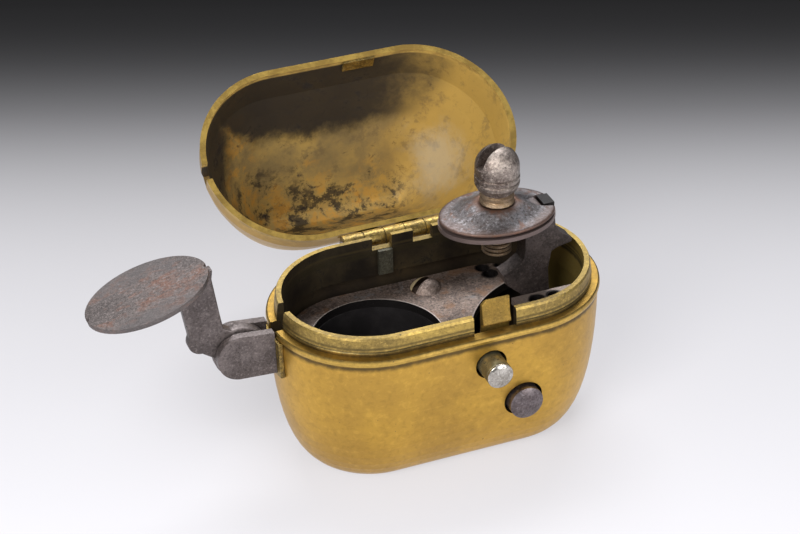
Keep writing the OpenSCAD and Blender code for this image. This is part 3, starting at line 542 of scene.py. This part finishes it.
# %% Brass for the bead, rubbed brighter than the rest
bead_brass, parts = old_metal(
    "bead_brass", bright=(0.64, 0.41, 0.095), dull=(0.44, 0.28, 0.065), stain=(0.15, 0.10, 0.035), scale=110.0, stains=0.3,
    pit_scale=1100.0, pit_size=0.12, pit_share=0.2, rough=0.34, metallic=0.93, dents=0.5, grain=0.2, wear_scale=300.0, bump=0.4,
    line_light=0.2, specks=0.2, seed=1.3)
# A darker band along the seam
dark_band(parts, 0.0280, 0.0009, tone=(0.075, 0.056, 0.026), amount=0.85)
dress(["seam_bead"], bead_brass)

# %% Olive brass for the collar, the hinge and the other inner fittings
collar_brass, parts = old_metal(
    "collar_brass", bright=(0.44, 0.305, 0.080), dull=(0.235, 0.165, 0.055), stain=(0.065, 0.050, 0.025), scale=120.0, stains=0.42,
    pit=(0.05, 0.04, 0.02), pit_scale=1100.0, pit_size=0.16, pit_share=0.25, rough=0.42, metallic=0.88, dents=0.5, grain=0.3,
    scratches=0.3, wear_scale=350.0, bump=0.5, line_light=0.30, specks=0.35, stretch=(0.5, 0.7, 2.0), seed=2.1)
two_sided(collar_brass, parts, middle=(0, 0, 0.029), stretch=(0.55, 1.0, 0.2), bright=(0.066, 0.049, 0.027), dull=(0.026, 0.020, 0.015),
          stain=(0.015, 0.013, 0.011), scale=150.0, stains=0.5, rough=0.5, seed=5.0)
glow_end(parts)
# Darker bands along the seam and along the collar's turned lines
dark_band(parts, 0.0280, 0.0009, tone=(0.045, 0.035, 0.018), amount=0.9)
dark_band(parts, 0.0286, 0.0004, tone=(0.05, 0.038, 0.018), amount=0.85)
dark_band(parts, 0.0293, 0.0005, tone=(0.09, 0.066, 0.028), amount=0.75)
dress(["rim_collar"], collar_brass)
hinge_brass, parts = old_metal(
    "hinge_brass", bright=(0.36, 0.25, 0.068), dull=(0.15, 0.108, 0.042), stain=(0.050, 0.044, 0.034), scale=420.0, stains=0.5,
    pit_scale=1500.0, pit_size=0.2, pit_share=0.25, rough=0.40, metallic=0.9, dents=0.6, grain=0.3, scratches=0.3,
    wear_scale=500.0, bump=0.5, line_light=0.35, specks=0.55, seed=4.0)
dress(["body_knuckles", "lid_knuckles", "plate_pillar", "plate_ledge", "bracket_flange", "lid_catch"], hinge_brass)
tab_brass, parts = old_metal(
    "tab_brass", bright=(0.30, 0.185, 0.036), dull=(0.20, 0.125, 0.028), stain=(0.10, 0.06, 0.02), scale=260.0, stains=0.3,
    pit_scale=1500.0, pit_size=0.15, pit_share=0.15, rough=0.46, metallic=0.8, dents=0.4, grain=0.4, scratches=0.5,
    wear_scale=600.0, bump=0.5, line_light=0.4, specks=0.3, seed=6.0)
dress(["latch_leaf"], tab_brass)
print("brass finishes done")

# %% [markdown]
# ## The lid: a bright rim round a stained bowl
#
# The open lid shows its inside, which is the most painterly part of the photograph: dark brown at
# the left and along the front wall, olive and gold in the bowl, with blotches near the hinge. The
# middle point of the inward mask lies in the mouth of the lid. The dark sides are painted shade, with
# soot on the front wall too, as a slow gradient across the lid broken up by noise so that no edge
# of it looks ruled. The gold right end and a grey sheen on the crown are painted light.

# %% Brass for the lid
lid_low, lid_high = (Vector(corner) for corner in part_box("lid_shell"))
lid_middle = (lid_low + lid_high) / 2
open_angle = math.radians(146.0)
lid_depth = Vector((0.0, math.sin(open_angle), math.cos(open_angle)))
lid_front = Vector((0.0, -math.cos(open_angle), math.sin(open_angle)))
lid_mouth = Vector((0.0, 0.0192, 0.0285)) + lid_front * 0.0192
mask_middle = lid_mouth + lid_depth * 0.004
lid_brass, parts = old_metal(
    "lid_brass", bright=(0.56, 0.345, 0.062), dull=(0.44, 0.265, 0.052), stain=(0.16, 0.10, 0.03), scale=55.0, stains=0.2,
    pit=(0.10, 0.06, 0.02), pit_scale=700.0, pit_size=0.085, pit_share=0.25, rough=0.34, rough_vary=0.18, metallic=0.92,
    dents=0.5, grain=0.12, scratches=0.12, wear_scale=170.0, bump=0.3, bump_depth=0.00005, line_light=0.08, specks=0.14, seed=8.0)
two_sided(lid_brass, parts, middle=tuple(mask_middle), stretch=(0.55, 1.0, 1.0), bright=(0.40, 0.270, 0.078), dull=(0.225, 0.160, 0.064),
          stain=(0.085, 0.058, 0.034), scale=120.0, stains=0.5, rough=0.62, seed=11.0, metal=0.25)
tree = parts["tree"]
place = node(tree, "VectorMath", {0: parts["where"], 1: tuple(lid_mouth)}, operation="SUBTRACT").outputs[0]
along = node(tree, "SeparateXYZ", {0: place}).outputs[0]
across = node(tree, "VectorMath", {0: place, 1: tuple(lid_front)}, operation="DOT_PRODUCT").outputs["Value"]
deep = node(tree, "VectorMath", {0: place, 1: tuple(lid_depth)}, operation="DOT_PRODUCT").outputs["Value"]
cloud = node(tree, "TexNoise", {"Vector": parts["where"], "Scale": 90.0, "Detail": 8.0, "Roughness": 0.72, "Distortion": 0.15}).outputs["Fac"]
cloud = number(tree, "SUBTRACT", cloud, 0.5)
drift = number(tree, "MULTIPLY", cloud, 0.020)
spots = node(tree, "TexNoise", {"Vector": parts["where"], "Scale": 250.0, "Detail": 8.0, "Roughness": 0.74, "Distortion": 0.1}).outputs["Fac"]

# Painted light: the right end is painted gold as if lit; the gold flecks along the bottom and the left are tone in the
# brass
gold = span(tree, number(tree, "ADD", along, drift), 0.008, 0.024)
flecks = number(tree, "MULTIPLY", span(tree, spots, 0.50, 0.60), span(tree, number(tree, "ADD", across, drift), 0.0085, 0.002))
gold = number(tree, "MAXIMUM", gold, flecks)
gold = number(tree, "MAXIMUM", gold, number(tree, "MULTIPLY", span(tree, spots, 0.5, 0.62), span(tree, along, -0.013, -0.018)))
gold_tone = blended(tree, span(tree, along, 0.004, 0.014), (0.50, 0.260, 0.042, 1), (0.47, 0.295, 0.062, 1))
bowl_stains_and_light = blended(tree, number(tree, "MULTIPLY", number(tree, "MULTIPLY", gold, parts["inside"]), 0.8), parts["color"], gold_tone)
# Brown speckle over the whole bowl
brown = number(tree, "MULTIPLY", number(tree, "MULTIPLY", span(tree, spots, 0.49, 0.36), parts["inside"]), 0.45)
bowl_stains_and_light = blended(tree, brown, bowl_stains_and_light, (0.105, 0.072, 0.040, 1))

# Painted grey sheen at the right of the crown
painted_sheen = node(tree, "VectorMath", {0: place, 1: tuple(lid_depth * 0.019 + lid_front * 0.002 + Vector((0.021, 0, 0)))},
             operation="DISTANCE").outputs["Value"]
painted_sheen = number(tree, "MULTIPLY", span(tree, number(tree, "ADD", painted_sheen, drift), 0.010, 0.002), 0.42)
bowl_stains_and_light = blended(tree, number(tree, "MULTIPLY", painted_sheen, parts["inside"]), bowl_stains_and_light, (0.47, 0.43, 0.35, 1))

# Painted shade on the left end and on the front wall, with soot on the front wall too, and soot blotches along the
# bottom
left_shade = span(tree, number(tree, "ADD", along, number(tree, "MULTIPLY", cloud, 0.012)), -0.0185, -0.0240)
front_shade_and_soot = span(tree, number(tree, "ADD", across, number(tree, "MULTIPLY", cloud, 0.006)), 0.0095, 0.0120)
front_shade_and_soot = number(tree, "MULTIPLY", front_shade_and_soot, span(tree, number(tree, "ADD", along, drift), 0.027, 0.009))
blotch = number(tree, "MULTIPLY", span(tree, spots, 0.49, 0.42), span(tree, number(tree, "ADD", across, drift), 0.0070, 0.0035))
blotch = number(tree, "MULTIPLY", blotch, span(tree, number(tree, "ADD", along, drift), 0.016, 0.011))
# soot gathers the painted shade of the left end and front wall together with the real soot blotches
soot = number(tree, "MAXIMUM", number(tree, "MULTIPLY", number(tree, "MAXIMUM", left_shade, front_shade_and_soot), 0.96),
              number(tree, "MULTIPLY", blotch, 0.8))
soot = number(tree, "MULTIPLY", soot, parts["inside"])
parts["color"] = bowl_stains_and_light
# Near the rim the painted shade and soot stop, and a bright band is painted in: rubbed brass, partly a painted
# highlight
rim_near = span(tree, deep, 0.0006, 0.0001)
soot = number(tree, "MULTIPLY", soot, number(tree, "SUBTRACT", 1.0, rim_near))
# The near-black colour is painted shade on the left end and the front wall, and soot in the blotches
shaded_and_sooty = blended(tree, soot, parts["color"], (0.015, 0.011, 0.009, 1))
rim_tone_and_highlight = blended(tree, span(tree, spots, 0.40, 0.60), (0.33, 0.215, 0.060, 1), (0.60, 0.405, 0.105, 1))
tree.links.new(blended(tree, number(tree, "MULTIPLY", rim_near, 0.8), shaded_and_sooty, rim_tone_and_highlight), parts["shader"].inputs["Base Color"])
dress(["lid_shell"], lid_brass)
print("lid mouth at", [round(v, 4) for v in lid_mouth])

# %% [markdown]
# ## Steel: brown, black and blue-grey
#
# The lock is iron and steel that has rusted and been oiled many times. It is dark and nearly
# matt, with orange-brown flecks, and shines only where it was rubbed: on the rim of the tinder
# hole, where a painted highlight adds to it, the ball of the screw and the upper jaw.

# %% Steel finishes
plate_steel, parts = old_metal(
    "plate_steel", bright=(0.16, 0.12, 0.10), dull=(0.085, 0.062, 0.052), stain=(0.17, 0.085, 0.04), scale=150.0, stains=0.35,
    pit=(0.012, 0.010, 0.009), pit_scale=1500.0, pit_size=0.24, pit_share=0.4, rough=0.46, metallic=0.65,
    dents=0.7, grain=0.8, wear_scale=500.0, bump=0.9, bump_depth=0.00009, specks=0.75, seed=12.0)
tree = parts["tree"]
flat = node(tree, "VectorMath", {0: parts["where"], 1: (1, 1, 0)}, operation="MULTIPLY").outputs[0]
rust = node(tree, "TexNoise", {"Vector": parts["where"], "Scale": 170.0, "Detail": 6.0, "Roughness": 0.7, "Distortion": 0.5}).outputs["Fac"]
deck_color = blended(tree, number(tree, "MULTIPLY", span(tree, rust, 0.52, 0.62), 0.6), parts["color"], (0.175, 0.090, 0.045, 1))
deck_color = blended(tree, number(tree, "MULTIPLY", span(tree, rust, 0.42, 0.32), 0.6), deck_color, (0.17, 0.165, 0.165, 1))
for middle, radius, shine in (((-0.0107, 0, 0), 0.0116, 0.9), ((0.0239, -0.0117, 0), 0.0200, 0.35)):
    # A bright line round the edge, partly rubbed metal and partly a painted highlight, and the wall below it painted
    # near black as shade
    reach = node(tree, "VectorMath", {0: flat, 1: middle}, operation="DISTANCE").outputs["Value"]
    rubbed_edge_and_highlight = number(tree, "MULTIPLY", span(tree, reach, radius + 0.00034, radius + 0.00012), shine)
    deck_color = blended(tree, rubbed_edge_and_highlight, deck_color, (0.36, 0.31, 0.28, 1))
    wall = number(tree, "LESS_THAN", number(tree, "ABSOLUTE", number(tree, "SUBTRACT", reach, radius)), 0.00004)
    deck_color = blended(tree, wall, deck_color, (0.014, 0.012, 0.012, 1))
for middle, radius in (((0.0147, 0.0132, 0), 0.0011), ((0.0153, 0.0109, 0), 0.0012), ((0.0179, 0.0130, 0), 0.0006),
                       ((0.0172, -0.0056, 0), 0.0013), ((0.0206, -0.0056, 0), 0.0013)):
    # Painted shade in and round the small holes
    reach = node(tree, "VectorMath", {0: flat, 1: middle}, operation="DISTANCE").outputs["Value"]
    reach = number(tree, "ADD", reach, number(tree, "MULTIPLY", number(tree, "SUBTRACT", rust, 0.5), 0.0012))
    deck_color = blended(tree, span(tree, reach, radius + 0.00055, radius + 0.00010), deck_color, (0.011, 0.009, 0.009, 1))
tree.links.new(deck_color, parts["shader"].inputs["Base Color"])
dress(["lock_plate", "front_deck"], plate_steel)
lever_steel, parts = old_metal(
    "lever_steel", bright=(0.155, 0.130, 0.125), dull=(0.085, 0.070, 0.067), stain=(0.11, 0.07, 0.05), scale=170.0, stains=0.3,
    pit=(0.02, 0.016, 0.015), pit_scale=1600.0, pit_size=0.22, pit_share=0.35, rough=0.46, metallic=0.7,
    dents=0.6, grain=0.7, wear_scale=450.0, bump=0.6, bump_depth=0.00006, specks=0.45, seed=14.0)
dress(["striking_lever", "front_cheek", "rear_cheek"], lever_steel)
dress(["lever_pin"], lever_steel)
pad_steel, parts = old_metal(
    "pad_steel", bright=(0.135, 0.112, 0.106), dull=(0.082, 0.068, 0.065), stain=(0.150, 0.080, 0.060), scale=150.0, stains=0.62,
    pit=(0.035, 0.028, 0.026), pit_scale=1700.0, pit_size=0.2, pit_share=0.3, rough=0.50, metallic=0.55,
    dents=0.5, grain=0.9, scratches=0.6, wear_scale=420.0, bump=0.8, bump_depth=0.00008, line_light=0.55, specks=0.6,
    stretch=(0.5, 1.0, 1.0), seed=15.0)
tree = parts["tree"]
pad_low, pad_high = (Vector(corner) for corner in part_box("striking_pad"))
pad_middle = (pad_low + pad_high) / 2
sideways = node(tree, "SeparateXYZ", {0: parts["where"]}).outputs[1]
ragged = node(tree, "TexNoise", {"Vector": parts["where"], "Scale": 300.0, "Detail": 4.0}).outputs["Fac"]
sideways = number(tree, "ABSOLUTE", number(tree, "SUBTRACT", sideways, pad_middle.y))
sideways = number(tree, "ADD", sideways, number(tree, "MULTIPLY", ragged, 0.010))
rubbed_grey = number(tree, "MULTIPLY", span(tree, sideways, 0.0072, 0.0118), 0.62)
tree.links.new(blended(tree, rubbed_grey, parts["color"], (0.098, 0.088, 0.088, 1)), parts["shader"].inputs["Base Color"])
dress(["striking_pad"], pad_steel)
cock_steel, parts = old_metal(
    "cock_steel", bright=(0.095, 0.075, 0.070), dull=(0.040, 0.032, 0.030), stain=(0.13, 0.06, 0.03), scale=160.0, stains=0.3,
    pit=(0.012, 0.01, 0.009), pit_scale=1500.0, pit_size=0.22, pit_share=0.35, rough=0.45, metallic=0.65,
    dents=0.7, grain=0.7, wear_scale=450.0, bump=0.7, bump_depth=0.00007, specks=0.45, seed=16.0)
tree = parts["tree"]
place = node(tree, "SeparateXYZ", {0: parts["where"]})
# The top of the guide block is painted near black: painted shade in the gap between the jaw and the guide
guide_top_shade = number(tree, "MULTIPLY", number(tree, "GREATER_THAN", place.outputs[2], 0.0403), number(tree, "GREATER_THAN", place.outputs[0], 0.0195))
jaw_rust = number(tree, "MULTIPLY", span(tree, place.outputs[2], 0.0386, 0.0392), 0.75)
cock_color = blended(tree, jaw_rust, parts["color"], (0.17, 0.125, 0.115, 1))
tree.links.new(blended(tree, guide_top_shade, cock_color, (0.012, 0.010, 0.010, 1)), parts["shader"].inputs["Base Color"])
dress(["cock"], cock_steel)
jaw_steel, parts = old_metal(
    "jaw_steel", bright=(0.160, 0.154, 0.162), dull=(0.100, 0.086, 0.083), stain=(0.140, 0.078, 0.050), scale=150.0, stains=0.38,
    pit=(0.04, 0.032, 0.03), pit_scale=1700.0, pit_size=0.22, pit_share=0.3, rough=0.46, metallic=0.7,
    dents=0.5, grain=0.6, wear_scale=430.0, bump=0.75, bump_depth=0.00009, line_light=0.3, specks=0.8, seed=18.0)
tree = parts["tree"]
place = node(tree, "SeparateXYZ", {0: parts["where"]})
rust = node(tree, "TexNoise", {"Vector": parts["where"], "Scale": 260.0, "Detail": 6.0, "Roughness": 0.75, "Distortion": 0.6}).outputs["Fac"]
edge_rust = number(tree, "MULTIPLY", span(tree, number(tree, "ADD", place.outputs[2], number(tree, "MULTIPLY", rust, 0.0010)), 0.0418, 0.0414), 0.85)
neck = node(tree, "VectorMath", {0: node(tree, "VectorMath", {0: parts["where"], 1: (1, 1, 0)}, operation="MULTIPLY").outputs[0],
                                1: (0.0118, 0, 0)}, operation="DISTANCE").outputs["Value"]
neck_rust = number(tree, "MULTIPLY", span(tree, number(tree, "SUBTRACT", neck, number(tree, "MULTIPLY", rust, 0.003)), 0.0034, 0.0018), 0.9)
rusty = number(tree, "MAXIMUM", number(tree, "MULTIPLY", span(tree, rust, 0.52, 0.63), 0.75), number(tree, "MAXIMUM", edge_rust, neck_rust))
rust_color = blended(tree, span(tree, rust, 0.40, 0.60), (0.105, 0.062, 0.047, 1), (0.132, 0.062, 0.036, 1))
tree.links.new(blended(tree, rusty, parts["color"], rust_color), parts["shader"].inputs["Base Color"])
dress(["upper_jaw_plate"], jaw_steel)
screw_steel, parts = old_metal(
    "screw_steel", bright=(0.34, 0.29, 0.255), dull=(0.115, 0.086, 0.074), stain=(0.075, 0.048, 0.034), scale=260.0, stains=0.35,
    pit=(0.05, 0.035, 0.03), pit_scale=1700.0, pit_size=0.24, pit_share=0.35, rough=0.30, metallic=0.9,
    dents=0.9, grain=0.9, wear_scale=420.0, bump=1.0, bump_depth=0.00012, line_light=0.4, specks=0.6, seed=20.0)
tree = parts["tree"]
place = node(tree, "SeparateXYZ", {0: parts["where"]})
brassy = number(tree, "MULTIPLY", number(tree, "LESS_THAN", place.outputs[2], 0.0450), 0.6)
screw_color = blended(tree, brassy, parts["color"], (0.30, 0.195, 0.095, 1))
# Painted shade fills the thread's grooves, one ring to each pitch of the screw
turns = number(tree, "DIVIDE", number(tree, "SUBTRACT", place.outputs[2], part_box("jaw_screw")[0][2]), 0.0008)
groove_shade = span(tree, number(tree, "COSINE", number(tree, "MULTIPLY", turns, 2 * math.pi)), 0.1, 0.8)
groove_shade = number(tree, "MULTIPLY", number(tree, "MULTIPLY", groove_shade, number(tree, "LESS_THAN", place.outputs[2], 0.0400)), 0.9)
tree.links.new(blended(tree, groove_shade, screw_color, (0.022, 0.014, 0.009, 1)), parts["shader"].inputs["Base Color"])
dress(["jaw_screw"], screw_steel)
worn_steel, parts = old_metal(
    "worn_steel", bright=(0.30, 0.235, 0.20), dull=(0.16, 0.115, 0.095), stain=(0.12, 0.06, 0.035), scale=260.0, stains=0.35,
    pit=(0.04, 0.03, 0.025), pit_scale=1500.0, pit_share=0.3, rough=0.36, metallic=0.85,
    dents=0.6, grain=0.6, wear_scale=480.0, bump=0.6, specks=0.5, seed=21.0)
dress(["deck_rivets", "sear"], worn_steel)
head_steel, parts = old_metal(
    "head_steel", bright=(0.235, 0.185, 0.160), dull=(0.135, 0.100, 0.084), stain=(0.12, 0.06, 0.035), scale=300.0, stains=0.4,
    pit=(0.04, 0.03, 0.025), pit_scale=1500.0, pit_share=0.3, rough=0.46, metallic=0.75,
    dents=0.9, grain=0.8, wear_scale=480.0, bump=0.9, bump_depth=0.0001, specks=0.5, seed=23.0)
tree = parts["tree"]
head_low, head_high = (Vector(corner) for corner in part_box("plate_screw"))
head_middle = (head_low + head_high) / 2
across_slot = Vector((-math.sin(math.radians(25)), math.cos(math.radians(25)), 0))
slot_place = node(tree, "VectorMath", {0: parts["where"], 1: tuple(head_middle)}, operation="SUBTRACT").outputs[0]
slot_place = node(tree, "VectorMath", {0: slot_place, 1: tuple(across_slot)}, operation="DOT_PRODUCT").outputs["Value"]
# The slot is painted dark as shade, and the lip beyond it is painted bright as a highlight
slot_shade = number(tree, "MULTIPLY", number(tree, "GREATER_THAN", slot_place, -0.00015), number(tree, "LESS_THAN", slot_place, 0.00112))
head_tarnish_and_light = blended(tree, slot_shade, parts["color"], (0.030, 0.018, 0.012, 1))
head_tarnish_and_light = blended(tree, number(tree, "GREATER_THAN", slot_place, 0.00112), head_tarnish_and_light, (0.62, 0.50, 0.30, 1))
tree.links.new(head_tarnish_and_light, parts["shader"].inputs["Base Color"])
dress(["plate_screw"], head_steel)
pin_iron, parts = old_metal(
    "pin_iron", bright=(0.17, 0.14, 0.125), dull=(0.09, 0.072, 0.064), stain=(0.10, 0.05, 0.03), scale=300.0, stains=0.3,
    rough=0.42, metallic=0.8, grain=0.5, wear_scale=500.0, bump=0.4, seed=22.0)
dress(["hinge_pin", "cock_axle", "sear_post"], pin_iron)
dark_steel, parts = old_metal(
    "dark_steel", bright=(0.034, 0.030, 0.031), dull=(0.015, 0.013, 0.014), stain=(0.07, 0.04, 0.025), scale=140.0, stains=0.25,
    pit=(0.008, 0.008, 0.008), pit_scale=1500.0, pit_size=0.22, pit_share=0.35, rough=0.55, metallic=0.5,
    dents=0.6, grain=0.7, wear_scale=420.0, bump=0.6, seed=24.0)
dress(["tinder_pot", "lock_frame", "tumbler", "mainspring"], dark_steel)
button_steel, parts = old_metal(
    "button_steel", bright=(0.16, 0.135, 0.14), dull=(0.10, 0.078, 0.078), stain=(0.15, 0.08, 0.065), scale=300.0, stains=0.35,
    pit=(0.03, 0.025, 0.025), pit_scale=1700.0, pit_share=0.3, rough=0.32, metallic=0.85,
    dents=0.5, grain=0.5, wear_scale=420.0, bump=0.5, specks=0.5, seed=26.0)
dress(["trigger_button"], button_steel)
stem_brass, parts = old_metal(
    "stem_brass", bright=(0.20, 0.175, 0.100), dull=(0.085, 0.080, 0.052), stain=(0.028, 0.030, 0.024), scale=300.0, stains=0.5,
    pit_scale=1400.0, rough=0.42, metallic=0.8, dents=0.6, grain=0.6, wear_scale=500.0, bump=0.5, seed=28.0)
dress(["latch_button"], stem_brass)
# The lid spring's pale stain colour paints glints: whitish spots on the dark brass
stay_brass, parts = old_metal(
    "stay_brass", bright=(0.100, 0.094, 0.066), dull=(0.045, 0.042, 0.032), stain=(0.17, 0.165, 0.14), scale=420.0, stains=0.35,
    pit_scale=1400.0, rough=0.50, metallic=0.7, dents=0.6, grain=0.6, wear_scale=500.0, bump=0.5, specks=0.5, seed=29.0)
dress(["lid_spring"], stay_brass)
bright_cap, parts = old_metal(
    "bright_cap", bright=(0.60, 0.57, 0.52), dull=(0.36, 0.33, 0.29), stain=(0.14, 0.12, 0.10), scale=380.0, stains=0.5,
    pit=(0.10, 0.09, 0.08), pit_scale=1800.0, pit_share=0.12, rough=0.20, metallic=1.0, dents=0.3, grain=0.15,
    wear_scale=420.0, bump=0.3, specks=0.3, seed=30.0)
dress(["latch_button_face"], bright_cap)
print("steel finishes done")

# %% [markdown]
# ## Floor, backdrop and lamps
#
# The box stands on a sweep of paper that is white in front and fades to near black behind. From
# this high a viewpoint the whole picture is floor, so the fade is a slow gradient in the floor's
# own colour. Part of its brightness is a plain glow, seen by the camera and in reflections, so
# that the white stays white, and the rest is lit, so that the box still has a soft shadow.

# %% Floor
floor_mesh = bpy.data.meshes.new("paper_sweep")
floor_mesh.from_pydata([(-3, -3, 0), (3, -3, 0), (3, 3, 0), (-3, 3, 0)], [], [(0, 1, 2, 3)])
floor = bpy.data.objects.new("paper_sweep", floor_mesh)
bpy.context.scene.collection.objects.link(floor)
paper = bpy.data.materials.new("paper")
paper.use_nodes = True
tree = paper.node_tree
tree.nodes.clear()
spot = node(tree, "TexCoord").outputs["Object"]
forward = Vector((-back.x, -back.y, 0)).normalized()
far = node(tree, "VectorMath", {0: spot, 1: tuple(forward)}, operation="DOT_PRODUCT").outputs["Value"]
ramp = node(tree, "ValToRGB")
tree.links.new(node(tree, "MapRange", {"Value": far, "From Min": -0.06, "From Max": 0.18}).outputs[0], ramp.inputs[0])
ramp.color_ramp.interpolation = "B_SPLINE"
stops = [(0.0, 0.88), (0.13, 0.80), (0.25, 0.73), (0.37, 0.665), (0.47, 0.60), (0.56, 0.50), (0.65, 0.34), (0.74, 0.14), (0.84, 0.035),
         (0.95, 0.016)]
while len(ramp.color_ramp.elements) < len(stops):
    ramp.color_ramp.elements.new(0.5)
for element, (at, grey) in zip(ramp.color_ramp.elements, stops):
    element.position = at
    element.color = (grey * 0.985, grey * 0.975, grey * 1.02, 1)
lit = node(tree, "BsdfDiffuse")
glow = node(tree, "Emission")
half = node(tree, "MixShader")
tree.links.new(ramp.outputs[0], lit.inputs["Color"])
tree.links.new(ramp.outputs[0], glow.inputs["Color"])
rays = node(tree, "LightPath")
seen = number(tree, "MAXIMUM", rays.outputs["Is Camera Ray"], rays.outputs["Is Glossy Ray"])
seen = number(tree, "MULTIPLY", number(tree, "MAXIMUM", seen, rays.outputs["Is Transmission Ray"]), 0.72)
tree.links.new(seen, half.inputs[0])
tree.links.new(lit.outputs[0], half.inputs[1])
tree.links.new(glow.outputs[0], half.inputs[2])
sheet_out = node(tree, "OutputMaterial")
tree.links.new(half.outputs[0], sheet_out.inputs[0])
floor.data.materials.append(paper)

# %% World
world = bpy.data.worlds.new("studio")
bpy.context.scene.world = world
world.use_nodes = True
world.node_tree.nodes["Background"].inputs[0].default_value = (0.80, 0.82, 0.86, 1)
world.node_tree.nodes["Background"].inputs[1].default_value = 0.42

# %% Lamps
def softbox(name, place, aim, size, watts, tint=(1, 1, 1)):
    """A rectangular lamp at place, turned to face aim."""
    data = bpy.data.lights.new(name, "AREA")
    data.shape = "RECTANGLE"
    data.size, data.size_y = size
    data.energy = watts
    data.color = tint
    lamp = bpy.data.objects.new(name, data)
    lamp.location = place
    lamp.rotation_euler = (Vector(aim) - Vector(place)).to_track_quat("-Z", "Y").to_euler()
    bpy.context.scene.collection.objects.link(lamp)
    return lamp


softbox("key_left", (-0.55, -0.45, 0.60), (0, 0, 0.02), (0.45, 0.45), 9.0, (1.0, 0.98, 0.95))
softbox("top_back", (0.15, 0.45, 0.70), (0, 0.02, 0.03), (0.60, 0.35), 7.0, (0.97, 0.98, 1.0))
softbox("front_fill", (0.35, -0.75, 0.30), (0, 0, 0.02), (0.5, 0.5), 3.5)
bpy.context.scene.view_settings.view_transform = "Standard"
